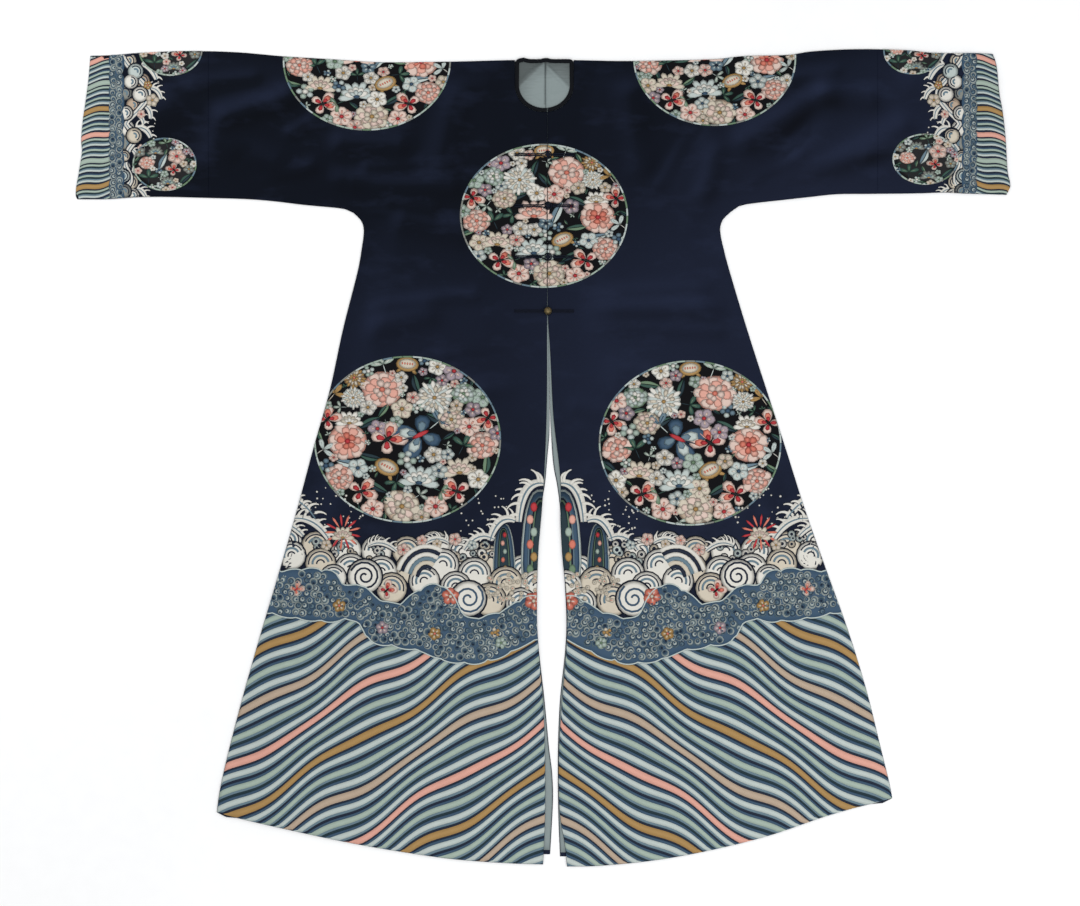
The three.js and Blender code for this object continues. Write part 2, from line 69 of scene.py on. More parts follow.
MM = 0.001
TAU = 2 * math.pi
SIDES = ("right", "left")
SIGN = {"right": -1.0, "left": 1.0}
NO_TRIS = np.zeros((0, 3), int)

# ------------------------------------------------------------------ sizes in millimetres

SEAM_GAP = 0.3
CLOTH_WALL = 1.3
LINING_FLOOR = 1.6
LINING_TOP = 2.6
FRONT_FACE = 4.2
SEAM_DIP = 1.3
FOLD_RADIUS = 2.1
SLEEVE_SEAM_X = 575.0
SEAM_BAND = 14.0
BACK_SKIN = 0.45  # the back's cloth starts here, so that its woven threads end above the floor
EDGE_CELL = 1.6  # width of the last cell along a free edge
EDGE_DROP = 0.4  # the free edges lie this much lower, so that they look round
HEM_THINNER = 0.3
YOKE_DEPTH, SKIRT_LENGTH = 210.0, 1110.0  # neck corner to underarm, and underarm to hem
SLEEVE_LENGTH, SLEEVE_DEPTH, CUFF_TOP = 215, 240, 690
SLEEVE_FALL = 245  # from the fold to the underarm seam
NEAR_SEAM = np.array([14, 11, 8, 5, 2.5, 0])  # stations where the cloth dips to its seam
FOLD_TURN, SLEEVE_TURN = (10, 30, 50, 70), (-68, -45, -22, 0, 22, 45, 68)  # degrees round the fold
LINING_SIDE = 34  # the lining stops this far inside the side seam
NECK_X, NECK_CORNER_Y, NECK_HALF, NECK_DEPTH, NECK_BACK_Y = 2.2, 640.0, 50.6, 46.0, 681.0
BACK_SHORTER = (17.0, 7.0)

SHOULDER = np.array([
    (-779, 691), (-735, 692.5), (-693, 696), (-610, 699), (-528, 697.2), (-445, 690), (-363, 685),
    (-280, 680), (-156, 681), (-50, 683.6), (50, 683.6), (132, 682), (215, 683), (300, 685.5),
    (345, 690.5), (421, 692.5), (463, 698.6), (545, 702.4), (628, 700.2), (669, 696), (752, 695.4),
    (775, 694)])
UNDERARM = {
    "right": np.array([
        (-326, 421), (-341, 427.6), (-363, 430.4), (-411, 434.8), (-459, 440.6), (-507, 444.6),
        (-580, 446.9), (-652, 448.6), (-700, 448), (-748, 444.8), (-798, 444.6)]),
    "left": np.array([
        (322, 422), (337, 432.6), (360, 437.2), (408, 442.7), (456, 448), (504, 453),
        (560, 453.6), (648, 454.6), (690, 456), (721, 454.4), (797, 452.2)])}
SIDE = {
    "right": np.array([
        (421, -326), (408, -313), (391, -308), (357, -312), (323, -318), (220, -344), (116, -366.5),
        (13, -395.6), (-90, -423), (-193, -452.5), (-296, -483.3), (-400, -513), (-503, -540),
        (-572, -555.6), (-609.4, -560.7)]),
    "left": np.array([
        (422, 322), (409, 309), (391, 304.5), (357, 311), (323, 320), (220, 351), (116, 384.5),
        (13, 418), (-90, 450.6), (-193, 487), (-296, 524), (-400, 556), (-503, 581.5),
        (-560, 595.5), (-585.3, 600.3)])}
FRONT_EDGE = {
    "right": np.array([
        (600, 7.2), (400, 7.2), (200, 7.0), (99, 6.6), (-4, 3.4), (-86, -1.7), (-169, -8.4),
        (-279, -10.3), (-334, -6.9), (-417, 0), (-503, 3.4), (-623, 3.4), (-698.8, 0)]),
    "left": np.array([
        (600, 7.5), (400, 7.5), (300, 7.6), (244, 8.4), (185, 12), (79, 17.2), (37, 21.5),
        (-4, 26.7), (-45, 30.4), (-107, 30), (-169, 33.2), (-227, 39), (-279, 41.3), (-334, 39.6),
        (-417, 32.7), (-499, 27.5), (-572, 26.7), (-623, 30.1), (-664, 37.4), (-702.4, 41.3)])}
BACK_EDGE = {
    "right": np.array([
        (690, 3.2), (400, 6.9), (150, 10), (47, 11), (-4, 6.9), (-45, 3.4), (-86, -3.4),
        (-169, -10.3), (-279, -12), (-348, -5.2), (-417, 2.6), (-499, 10.3), (-541, 15.5),
        (-582, 17.2), (-623, 15.5), (-684, 12)]),
    "left": np.array([
        (690, 3.5), (400, 7.2), (150, 10.3), (47, 13.8), (-14, 18), (-45, 24), (-86, 29.2),
        (-169, 34.4), (-279, 40.3), (-334, 37.8), (-417, 29.2), (-499, 25.8), (-572, 25.8),
        (-623, 26.7), (-684, 29.2)])}
EDGE = {"front": FRONT_EDGE, "back": BACK_EDGE}
HEM = {
    "right": np.array([
        (-560.7, -609.4), (-538, -616.3), (-442, -638.6), (-346, -659.3), (-249, -676.5),
        (-153, -690), (-57, -697), (0, -698.8)]),
    "left": np.array([
        (41.3, -702.4), (95, -701.4), (191, -692), (287, -675), (384, -651), (480, -618.5),
        (528, -604.2), (576, -592), (600.3, -585.3)])}
CUFF = {
    "right": np.array([
        (444.6, -798), (457, -803.2), (488, -798.4), (529, -792.4), (550, -793.6), (581, -791),
        (612, -786.5), (650, -781.5), (691, -778)]),
    "left": np.array([
        (452, 797), (466, 803.2), (488, 798.6), (550, 794.6), (595, 789.5), (622, 784.5),
        (674, 779), (694, 772)])}

# Folds pressed into the cloth: a line, its rise (or fall) and its spread. The first 28 are the
# main ones, which the plain walls have too; the finer ones lie between them.
CREASES = np.array([
    (-545, 586, -440, 620, 3.2, 22), (-514, 512, -455, 462, -1.6, 20),
    (-560, 540, -470, 500, 2.0, 26), (-345, 540, -250, 534, 2.2, 20),
    (-345, 468, -160, 466, 2.6, 22), (-720, 560, -640, 600, 2.4, 30),
    (-700, 505, -610, 480, 1.8, 26), (350, 545, 485, 624, 3.4, 24), (485, 624, 560, 618, 2.4, 22),
    (470, 603, 385, 468, -1.7, 22), (470, 480, 616, 566, 3.0, 24), (258, 566, 205, 492, -1.5, 22),
    (296, 520, 282, 455, 2.2, 20), (640, 640, 730, 600, 2.2, 30), (150, 620, 170, 500, 2.0, 26),
    (-150, 620, -175, 510, 1.8, 26), (60, 257, 336, 256, 3.0, 20), (-236, 408, -144, 386, 2.2, 22),
    (-201, 247, -287, 226, 2.4, 24), (-184, 150, -30, 168, -1.4, 22),
    (-250, 110, -120, 60, 1.8, 34), (140, 140, 290, 60, 2.0, 34),
    (-330, -60, -390, -330, 2.0, 46), (-180, -140, -200, -430, 1.8, 50),
    (190, -120, 240, -420, 2.0, 52), (400, -60, 470, -330, 2.2, 46),
    (-420, -420, -450, -590, 1.6, 40), (380, -430, 420, -600, 1.8, 44),
    (-600, 640, -500, 655, 1.0, 14), (-430, 560, -360, 600, 1.1, 13),
    (-480, 470, -400, 500, 1.2, 14), (-300, 500, -210, 505, 1.0, 13),
    (-260, 440, -190, 430, 1.1, 13), (400, 650, 500, 668, 1.0, 14), (560, 520, 660, 545, 1.1, 15),
    (330, 600, 420, 640, 1.1, 14), (240, 540, 200, 470, 1.2, 14), (360, 470, 440, 520, 1.2, 14),
    (690, 520, 740, 560, 1.0, 16), (100, 285, 280, 292, 0.9, 13), (80, 226, 300, 218, 1.1, 14),
    (-120, 280, -290, 262, 1.0, 13), (-60, 120, -200, 96, 0.9, 15), (60, 90, 180, 60, 0.9, 15),
    (-290, -10, -320, -160, 0.9, 18), (-90, -120, -100, -300, 0.9, 20),
    (120, -60, 130, -250, 0.9, 20), (330, -40, 380, -250, 1.0, 18),
    (-300, -330, -320, -520, 0.9, 20), (-120, -380, -130, -560, 0.8, 20),
    (150, -400, 170, -600, 0.9, 20), (300, -330, 330, -540, 0.9, 20),
    (480, -350, 530, -520, 0.9, 18)], float)
RESTING_LIFT = 0.9
# Between these distances the creases grow from nothing to their full rise.
CALM_SEAM, CALM_FOLD, CALM_NECK = (SEAM_BAND, 70), (4, 50), (8, 50)
CALM_ACROSS, CALM_UP = (50, 120), (60, 180)  # the same beside the closures and below them

LINING_INSET, LINING_SHORTER = 1.2, 7  # from the back's edge at the slit and at the hem
# Small folds of the lining that show in the neck: a line, its rise and its spread.
LINING_FOLDS = (
    (7.7, 671.0, 38.0, 640.0, 2.4, 3.6), (-5.0, 675.0, -36.0, 648.0, 2.2, 3.8),
    (4.0, 604.0, 4.6, 668.0, -0.7, 2.6), (10.0, 606.0, 13.0, 650.0, 1.2, 3.4),
    (-30.0, 628.0, -8.0, 612.0, 1.0, 4.5), (18.0, 622.0, 36.0, 628.0, 0.9, 4.0))

CLOSURE_X, CORD_RADIUS, LEG_SPACING, LOOP_START, TAB_START = 8.4, 1.15, 3.0, -49.0, 53.0
CLOSURES = (  # height of the closure, droop of its ball, width, height and eye radius
    (520.6, 0.0, 9.5, 6.5, 6.1),
    (432.9, 0.0, 9.5, 6.5, 6.1),
    (345.2, 0.0, 9.5, 6.5, 6.1),
    (257.5, 5.5, 13.5, 13.5, 6.4),
)
BINDING_WIDTH, BINDING_HEIGHT, BINDING_CORNER = 7.2, 3.0, 4.0
BINDING_PUCKERS = ((-34.0, 2.6), (5.0, 2.2))  # place across and rise of two puckers at the nape

# Flower roundels: middle and half axes. Those high on the sleeves and shoulders cross the fold.
ROUNDELS = (
    (1.7, 415.7, 144.5, 123.8), (-233.0, 31.3, 160.8, 143.6), (252.8, 25.3, 157.0, 142.0),
    (-302.7, 683.0, 144.5, 121.0), (295.0, 686.0, 140.0, 116.0))
SMALL_ROUNDELS = (
    (-650.0, 504.0, 55.0, 45.6), (-640.0, 701.0, 55.0, 45.0), (657.0, 513.0, 56.8, 43.9),
    (636.0, 700.0, 51.6, 42.0))

# Silk threads: sRGB colours of the weave.
THREADS = {
    "white": (214, 211, 202), "ivory": (200, 190, 172), "blush": (212, 188, 176),
    "pink": (214, 158, 142), "coral": (204, 116, 98), "crimson": (176, 52, 58),
    "ochre": (164, 130, 80), "brown": (116, 96, 76), "sand": (178, 158, 138),
    "mist": (182, 192, 188), "slate": (100, 122, 134), "blue": (54, 78, 100), "navy": (22, 32, 50),
    "sea": (158, 174, 162), "green": (50, 80, 70), "leaf": (104, 128, 102), "black": (16, 16, 19),
    "teal": (26, 46, 54), "grey": (128, 130, 124), "lilac": (156, 142, 150)}


# ------------------------------------------------------------------------- cut of the cloth

def smooth(start, end, value):
    """Smooth step: 0 before start, 1 after end, 3t^2 - 2t^3 between."""
    t = np.clip((value - start) / (end - start), 0, 1)
    return t * t * (3 - 2 * t)


def follow(rows, at):
    """Cubic Hermite curve through rows of (key, value), with the slope of its neighbours' chord."""
    rows = rows if rows[0, 0] < rows[-1, 0] else rows[::-1]
    key, value = rows[:, 0].astype(float), rows[:, 1].astype(float)
    near = np.arange(len(key))
    before, after = np.maximum(near - 1, 0), np.minimum(near + 1, len(key) - 1)
    slope = (value[after] - value[before]) / (key[after] - key[before])
    at = np.clip(at, key[0], key[-1])
    i = np.clip(np.searchsorted(key, at, side="left") - 1, 0, len(key) - 2)
    span = key[i + 1] - key[i]
    t = (at - key[i]) / span
    return ((2 * t**3 - 3 * t**2 + 1) * value[i] + (t**3 - 2 * t**2 + t) * span * slope[i]
            + (3 * t**2 - 2 * t**3) * value[i + 1] + (t**3 - t**2) * span * slope[i + 1])


def fold_y(x):
    """Height in the plan where the cloth starts to turn over the shoulder."""
    return follow(SHOULDER, x) - FOLD_RADIUS


def hem_y(side, layer, x):
    """Hem outline; the back ends a little above the front, more so at the middle."""
    outline = follow(HEM[side], x)
    if layer == "front":
        return outline
    centre, end = BACK_SHORTER
    return outline + centre + (end - centre) * smooth(0, 500, np.abs(x))


def armpit(side):
    return UNDERARM[side][0].astype(float)


def seam_distance(side, x, y):
    """Distance to the side seam, to the underarm seam or to the corner between them."""
    ax, ay = armpit(side)
    below = np.abs(follow(SIDE[side], y)) - np.abs(x)
    out = y - follow(UNDERARM[side], x)
    corner = np.hypot(x - ax, y - ay)
    return np.where(y < ay, below, np.where(np.abs(x) > abs(ax), out, corner))


def folded(x, y, lines, total):
    """Adds for each line its rise times exp(-(distance to the line / spread)^2)."""
    for x0, y0, x1, y1, rise, spread in lines:
        dx, dy = x1 - x0, y1 - y0
        along = np.clip(((x - x0) * dx + (y - y0) * dy) / (dx * dx + dy * dy), 0, 1)
        away2 = (x - x0 - along * dx) ** 2 + (y - y0 - along * dy) ** 2
        total = total + rise * np.exp(-away2 / spread**2)
    return total


def front_face(side, x, y):
    """Upper face of the fronts: a level, less the dip at the seam, plus the sum of the creases.

    The creases' sum and a lift fade out towards seams, fold, neck and closures."""
    to_seam = seam_distance(side, x, y)
    to_neck = np.hypot(x - NECK_X, np.maximum(0, NECK_CORNER_Y - y)) - NECK_HALF
    near_closures = (1 - smooth(*CALM_ACROSS, np.abs(x - CLOSURE_X))) * smooth(*CALM_UP, y)
    calm = (smooth(*CALM_SEAM, to_seam) * smooth(*CALM_FOLD, fold_y(x) - y)
            * smooth(*CALM_NECK, to_neck) * (1 - near_closures))
    total = folded(x, y, CREASES, np.full(np.shape(x), RESTING_LIFT))
    return FRONT_FACE - SEAM_DIP * (1 - smooth(0, SEAM_BAND, to_seam)) + np.maximum(0, total) * calm


# ------------------------------------------------------------------------- mesh building

PLAN_SQUARE = 1.64  # side in metres of the square that the texture plan covers
PLAN_SHARE, BACK_PLAN = 0.49, 0.505  # width of the plan in the texture, and where the back's starts
FRONT_ABOVE = 0.0015  # points higher than this belong to the front
WALL_SLOPE = 0.12  # faces that look up less than this are walls
UPPER_FACE = 2.5  # points of a front or a sleeve that are higher belong to its upper face


def read(items, name, width=1, kind=float):
    """One property of all items as an array."""
    values = np.empty(len(items) * width, kind)
    items.foreach_get(name, values)
    return values.reshape(-1, width) if width > 1 else values


def stacked(*parts):
    """Numbers and arrays as the coordinates, or the corners, of one array."""
    return np.stack(np.broadcast_arrays(*parts), -1)


def make_object(name, points, quads, tris, material, node_slot, walls=False):
    """Mesh object from points in millimetres and whole arrays of faces; unused points go.

    All faces are shaded smooth, but only those that look upwards where the piece has walls."""
    quads = np.asarray(quads, np.int64).reshape(-1, 4)
    tris = np.asarray(tris, np.int64).reshape(-1, 3)
    used, loops = np.unique(np.concatenate([quads.ravel(), tris.ravel()]), return_inverse=True)
    points = np.asarray(points, float)[used]
    mesh = bpy.data.meshes.new(name)
    mesh.vertices.add(len(points))
    mesh.vertices.foreach_set("co", (points * MM).ravel())
    mesh.loops.add(len(loops))
    mesh.loops.foreach_set("vertex_index", loops.ravel().astype(np.int32))
    starts = np.concatenate([np.arange(len(quads)) * 4, quads.size + np.arange(len(tris)) * 3])
    mesh.polygons.add(len(starts))
    mesh.polygons.foreach_set("loop_start", starts.astype(np.int32))
    mesh.update(calc_edges=True)
    mesh.validate()
    looks_up = read(mesh.polygons, "normal", 3)[:, 2] > WALL_SLOPE
    mesh.polygons.foreach_set("use_smooth", looks_up | (not walls))
    plan = mesh.uv_layers.new(name="Plan")
    corner = read(mesh.loops, "vertex_index", kind=np.int32)
    x, y, z = read(mesh.vertices, "co", 3)[corner].T
    beside = np.where(z > FRONT_ABOVE, 0.0, BACK_PLAN)
    across = (x / PLAN_SQUARE + 0.5) * PLAN_SHARE + beside
    plan.uv.foreach_set("vector", stacked(across, y / PLAN_SQUARE + 0.5).ravel())
    mesh.materials.append(material)
    made = bpy.data.objects.new(name, mesh)
    bpy.context.scene.collection.objects.link(made)
    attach(made, "root")
    return made


def add_painted_fold_light(made, side):
    """Attribute of the upper face for the painted fold highlight and shade: how far the folds turn
    it towards the light's side.
    """
    x, y, z = read(made.data.vertices, "co", 3).T / MM
    turned = front_face(side, x + 1, y - 1) - front_face(side, x - 1, y + 1)
    turned = np.where((z > UPPER_FACE) & (seam_distance(side, x, y) > SEAM_BAND), turned, 0.0)
    made.data.attributes.new("painted_fold_light", "FLOAT", "POINT").data.foreach_set("value", turned)


def outward(points, quads, tris):
    """Faces turned so that the volume they enclose is positive."""
    a, b, c, d = (points[quads[:, k]] for k in range(4))
    volume = np.einsum("ij,ij->", a, np.cross(b, c)) + np.einsum("ij,ij->", a, np.cross(c, d))
    p, q, r = (points[tris[:, k]] for k in range(3))
    volume += np.einsum("ij,ij->", p, np.cross(q, r))
    return (quads, tris) if volume > 0 else (quads[:, ::-1], tris[:, ::-1])


def slab(top, bottom, keep=None):
    """Closed wall over a grid: both faces of each kept cell and a strip at each free edge."""
    rows, columns = top.shape[:2]
    keep = np.ones((rows - 1, columns - 1), bool) if keep is None else keep
    count = rows * columns
    number = np.arange(count).reshape(rows, columns)
    a, b, c, d = number[:-1, :-1], number[:-1, 1:], number[1:, 1:], number[1:, :-1]
    faces = [stacked(a, b, c, d)[keep], stacked(a, d, c, b)[keep] + count]
    wide = np.pad(keep, 1)
    for (dr, dc), p, q in (((-1, 0), b, a), ((0, 1), c, b), ((1, 0), d, c), ((0, -1), a, d)):
        edge = keep & ~wide[1 + dr:rows + dr, 1 + dc:columns + dc]
        faces.append(stacked(p, q, q + count, p + count)[edge])
    points = np.concatenate([top.reshape(-1, 3), bottom.reshape(-1, 3)])
    return points, outward(points, np.concatenate(faces), NO_TRIS)[0]


def capped(rings, first, last):
    """Closed body of rings of points with a tip at each end."""
    count, sides = rings.shape[:2]
    points = np.concatenate([rings.reshape(-1, 3), [first], [last]])
    i, k = np.meshgrid(np.arange(count - 1), np.arange(sides), indexing="ij")
    a, b = i * sides + k, i * sides + (k + 1) % sides
    quads = stacked(a, b, b + sides, a + sides).reshape(-1, 4)
    k = np.arange(sides)
    after, end, tip = (k + 1) % sides, (count - 1) * sides, count * sides
    tris = np.concatenate([stacked(tip, after, k), stacked(tip + 1, end + k, end + after)])
    return points, *outward(points, quads, tris)


def turned_tube(path, radius, sides, twist=0.0, lobes=0, lobe_depth=0.0, height=None):
    """Closed tube: a ring of radius (1 + depth cos(lobes a + twist s)) at each station."""
    path = np.asarray(path, float)
    along = np.gradient(path, axis=0)
    along /= np.linalg.norm(along, axis=1)[:, None]
    across = np.cross(along, [0, 0, 1.0])
    across /= np.maximum(np.linalg.norm(across, axis=1), 1e-6)[:, None]
    up = np.cross(across, along)
    step = np.r_[0, np.cumsum(np.linalg.norm(np.diff(path, axis=0), axis=1))]
    turn = np.arange(sides) / sides * TAU
    size = 1 + lobe_depth * np.cos(lobes * turn[None, :] + twist * step[:, None])
    tall = radius if height is None else height
    ring = (path[:, None] + across[:, None] * (radius * size * np.cos(turn))[..., None]
            + up[:, None] * (tall * size * np.sin(turn))[..., None])
    return capped(ring, path[0], path[-1])


def joined(parts):
    """Several (points, quads, tris) as one."""
    points, quads, tris, base = [], [], [], 0
    for p, q, t in parts:
        points.append(p)
        quads.append(np.asarray(q).reshape(-1, 4) + base)
        tris.append(np.asarray(t).reshape(-1, 3) + base)
        base += len(p)
    return np.concatenate(points), np.concatenate(quads), np.concatenate(tris)


# ------------------------------------------------------------------------- cloth shells

def spaced(start, end, step, edge=EDGE_CELL):
    """Stations from start to end about step apart, with one close to each end."""
    length = end - start
    count = max(2, int(round(abs(length) / step)))
    inner = np.linspace(start, end, count + 1)[1:-1]
    nudge = math.copysign(edge, length)
    return np.r_[start, start + nudge, inner, end - nudge, end]


def panel_grid(side, layer, step):
    """Points of a front or back: rows from the fold down to the hem, columns outwards.

    Above the armpit's level a row's share runs from the fold to that level or to the underarm;
    below it, columns keep their share of the way from the centre edge to the side seam. The
    first rows turn round the fold by the angles."""
    s = SIGN[side]
    ax, ay = armpit(side)
    edge_rows = EDGE[layer][side]
    centre = follow(edge_rows, ay)
    offsets = NECK_HALF * np.sin(np.linspace(0, 1, 15)[1:] * math.pi / 2)
    neck = NECK_X + s * offsets[offsets > s * (centre - NECK_X) + 4]
    body = spaced(NECK_X + s * NECK_HALF, ax - s * 20, step)[1:]
    seam = ax - s * np.r_[17, NEAR_SEAM]
    root = spaced(ax, s * SLEEVE_SEAM_X, step)[1:]
    columns = np.concatenate([[centre, centre + s * EDGE_CELL], neck, body, seam, root])
    at = np.arange(len(columns))
    neck_end = 1 + len(neck)
    side_column = neck_end + len(body) + len(seam)

    angles = np.radians(FOLD_TURN)[:, None] * (1 if layer == "front" else -1)
    levels = np.unique(np.r_[
        np.linspace(0, 1, 9), 1 + spaced(0, YOKE_DEPTH, step)[1:-1] / YOKE_DEPTH,
        2 - np.array([12, 9, 6, 3, 0]) / YOKE_DEPTH])[:, None]
    down = np.unique(np.r_[
        np.linspace(0, 0.03, 6), np.linspace(0.03, 1, int(SKIRT_LENGTH / step)),
        1 - EDGE_CELL / SKIRT_LENGTH])[1:, None]
    fold = fold_y(columns)
    turned = fold + FOLD_RADIUS * np.cos(angles)

    bottom = np.where(at <= side_column, ay, follow(UNDERARM[side], columns))
    top = np.where((at < neck_end) & (layer == "back"), NECK_BACK_Y, fold)
    yoke = np.where(levels <= 1, top + (NECK_CORNER_Y - top) * levels,
                    NECK_CORNER_Y + (bottom - NECK_CORNER_Y) * (levels - 1))
    if layer == "front":
        across = np.minimum(1, np.abs(columns - NECK_X) / NECK_HALF)
        scoop = -NECK_DEPTH * np.sqrt(1 - across**2)
        fade = np.where(levels <= 1, 1, (yoke - bottom) / (NECK_CORNER_Y - bottom))
        yoke = yoke + np.where(at <= neck_end, scoop * fade, 0)

    share = (columns - columns[0]) / (ax - columns[0])
    hem_x = edge_rows[-1, 1] + (SIDE[side][-1, 1] - edge_rows[-1, 1]) * share
    skirt = ay + (hem_y(side, layer, hem_x) - ay) * down
    outer, inner = follow(SIDE[side], skirt), follow(edge_rows, skirt)
    place = inner + (outer - inner) * share
    close = (at > side_column - len(seam)) & (at <= side_column)
    place = np.where(close, outer - s * np.abs(ax - columns), place)
    place = np.where(at == 1, inner + s * EDGE_CELL, place)
    place = np.where(at <= side_column, place, columns)

    y = np.concatenate([turned, yoke, skirt])
    x = np.concatenate([np.broadcast_to(columns, (len(y) - len(place), len(columns))), place])
    z = np.full_like(x, BACK_SKIN)
    if layer == "front":
        z = front_face(side, x, y)
        z[-1] -= EDGE_DROP
        z[:, 0] -= EDGE_DROP
    z[:len(angles)] = FOLD_RADIUS + FOLD_RADIUS * np.sin(angles)
    neck_row = int(np.argmin(np.abs(levels - 1))) if layer == "front" else 0
    keep = np.ones((len(y) - 1, len(columns) - 1), bool)
    keep[len(y) - len(place) - 1:, side_column:] = False
    keep[:len(angles) + neck_row, :neck_end] = False
    return x, y, z, keep, angles


def cloth_panel(side, layer, step, material):
    """A front or back as one thin closed wall, its upper edge turned round the shoulder fold."""
    x, y, z, keep, angles = panel_grid(side, layer, step)
    inner_y, inner_z = y.copy(), np.full_like(z, CLOTH_WALL)
    if layer == "front":
        inner_z = z - CLOTH_WALL
        inner_z[-1] += HEM_THINNER
    turned = len(angles)
    inner_y[:turned] -= CLOTH_WALL * np.cos(angles)
    inner_z[:turned] = z[:turned] - CLOTH_WALL * np.sin(angles)
    points, quads = slab(stacked(x, y, z), stacked(x, inner_y, inner_z), keep)
    made = make_object(f"silk_{layer}_{side}", points, quads, NO_TRIS, material, "outer_silk", True)
    if layer == "front":
        add_painted_fold_light(made, side)
    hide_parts(f"{layer}_{side}")
    return made


def cloth_sleeve(side, step, material):
    """Outer sleeve: one wall from the lower back edge, over the fold and down the front."""
    start = SIGN[side] * SLEEVE_SEAM_X
    out = spaced(0, 1, step / SLEEVE_LENGTH, edge=0.007)
    levels = np.linspace(0, 1, round(SLEEVE_FALL / step))
    near = 1 - NEAR_SEAM / SLEEVE_FALL

    def lie(level):
        """Plan of rows from the fold, at level 0, to the underarm seam, at level 1."""
        end = follow(CUFF[side], CUFF_TOP - level[:, None] * SLEEVE_DEPTH)
        x = start + (end - start) * out
        top = fold_y(x)
        return x, top + (follow(UNDERARM[side], x) - top) * level[:, None]

    back, front = lie(levels[::-1]), lie(np.r_[levels[levels < near[0]], near])
    front_z = front_face(side, *front)
    front_z[:, -1] -= EDGE_DROP
    fold_x = start + (follow(CUFF[side], CUFF_TOP + 1) - start) * out
    angle = np.radians(SLEEVE_TURN)[:, None]

    def face(back_z, radius, front_z):
        turn = stacked(fold_x, fold_y(fold_x) + radius * np.cos(angle),
                       FOLD_RADIUS + radius * np.sin(angle))
        return np.concatenate([stacked(*back, back_z), turn, stacked(*front, front_z)])

    points, quads = slab(face(BACK_SKIN, FOLD_RADIUS, front_z),
                         face(CLOTH_WALL, FOLD_RADIUS - CLOTH_WALL, front_z - CLOTH_WALL + 0.05))
    made = make_object(f"silk_sleeve_{side}", points, quads, NO_TRIS, material, "outer_silk", True)
    add_painted_fold_light(made, side)
    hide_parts(f"sleeve_{side}")
    return made


def lining_half(side, step, material):
    """Half of the back's lining: a flat wall that stops inside the seams, hem and slit."""
    s = SIGN[side]
    ax, ay = armpit(side)
    near_neck = 52 / abs(ax - s * 40)
    share = np.r_[np.linspace(0, near_neck, 24), spaced(near_neck, 1, step / 300, 0.005)[2:]]

    def centre(y):
        return follow(BACK_EDGE[side], y) + s * LINING_INSET * (1 - smooth(20, 60, y))

    def outer(y):
        return np.where(y > ay, ax, follow(SIDE[side], y)) - s * LINING_SIDE

    top_x = centre(ay) + (outer(ay + 1) - centre(ay)) * share
    top_y = np.where(np.abs(top_x - NECK_X) < NECK_HALF, NECK_BACK_Y, fold_y(top_x) - 2)
    hem_x = s * 20 + (SIDE[side][-1, 1] - s * 20) * share
    hem = follow(HEM[side], hem_x) + BACK_SHORTER[0] + LINING_SHORTER
    down = np.r_[np.linspace(0, 0.4, 50), np.linspace(0.45, 1, 12)][:, None]
    y = np.concatenate([top_y + (ay - top_y) * down,
                        ay + (hem - ay) * np.linspace(0, 1, 80)[1:, None]])
    x = centre(y) + (outer(y) - centre(y)) * share
    wave = 0.12 * np.sin(x * 0.11 + 2 * np.sin(y * 0.031)) * np.sin(y * 0.07 + 1)
    fold = folded(x, y, LINING_FOLDS, np.zeros_like(x))
    reach = np.hypot(x - NECK_X, np.maximum(0, NECK_CORNER_Y - y))
    fold *= (1 - smooth(36, 45, reach)) * (1 - smooth(NECK_BACK_Y - 9, NECK_BACK_Y - 2, y))
    top = LINING_TOP - 0.16 + wave * 0.8 + fold
    points, quads = slab(stacked(x, y, top), stacked(x, y, LINING_FLOOR))
    made = make_object(f"silk_lining_{side}", points, quads, NO_TRIS, material, "lining_silk")
    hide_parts(f"lining_{side}")
    return made


# ------------------------------------------------------------------------- woven ornament

TOP_LEVEL = 25
# Height of each level of threads above the cloth.
LIFT = tuple(0.24 + 0.10 * min(k, 5) + 0.055 * max(0, k - 5) for k in range(TOP_LEVEL + 1))
BACK_LIFT = 0.23  # share of that height under the back
STAGGER, STEPS = 0.004, 12  # shapes of one level lie on so many steps of this height
ROOT = -0.03  # the underside of a thread sinks so far into the cloth
CROWN = 0.03  # the middle of a filled outline is so much higher than its rim
FOLD_REACH = {"front": 2.0, "back": 0.8}  # how far threads go past the start of the fold
FOLD_END = 2.05  # how far the fold's round face is followed
EDGE_MARGIN, CENTRE_MARGIN, HEM_MARGIN = 0.4, 0.35, 0.5
LEAST_SHAPE, LEAST_SHARE, LEAST_CELL = 0.8, 0.12, 0.25  # areas below which nothing is woven
LONGEST_TUCK = 3.0  # cells whose corners all moved further are left out
# Threads of a roundel end at this share of its rim. Shapes that are drawn in further than the
# second share on average are left out.
ROUNDEL_RIM, LEAST_PULL = 0.985, 0.8
FEW_RINGS, SOME_RINGS = 15, 34  # outlines below these sizes are filled by one or two rings, not 4
LONG_GRID = 30  # stations from which a grid is woven at every second one underneath


def tucked(side, layer, points):
    """Plan points moved onto one side of the garment, just inside its edges, seams and fold."""
    s = SIGN[side]
    ax, ay = armpit(side)
    x, y = points[..., 0].copy(), points[..., 1].copy()
    y = np.minimum(y, fold_y(x) + FOLD_REACH[layer])
    sleeve = (s * x > s * ax) & (y > ay - 40)
    y = np.where(sleeve, np.maximum(y, follow(UNDERARM[side], x) + EDGE_MARGIN), y)
    x = np.where(sleeve, s * np.minimum(s * x, np.abs(follow(CUFF[side], y)) - EDGE_MARGIN), x)
    inner = follow(EDGE[layer][side], y)
    x = np.where(sleeve, x, s * np.maximum(s * (x - inner), CENTRE_MARGIN) + inner)
    outer = np.where(y > ay, np.inf, np.abs(follow(SIDE[side], y)) - EDGE_MARGIN)
    x = np.where(sleeve, x, s * np.minimum(s * x, outer))
    y = np.where(sleeve, y, np.maximum(y, hem_y(side, layer, x) + HEM_MARGIN))
    return stacked(x, y)


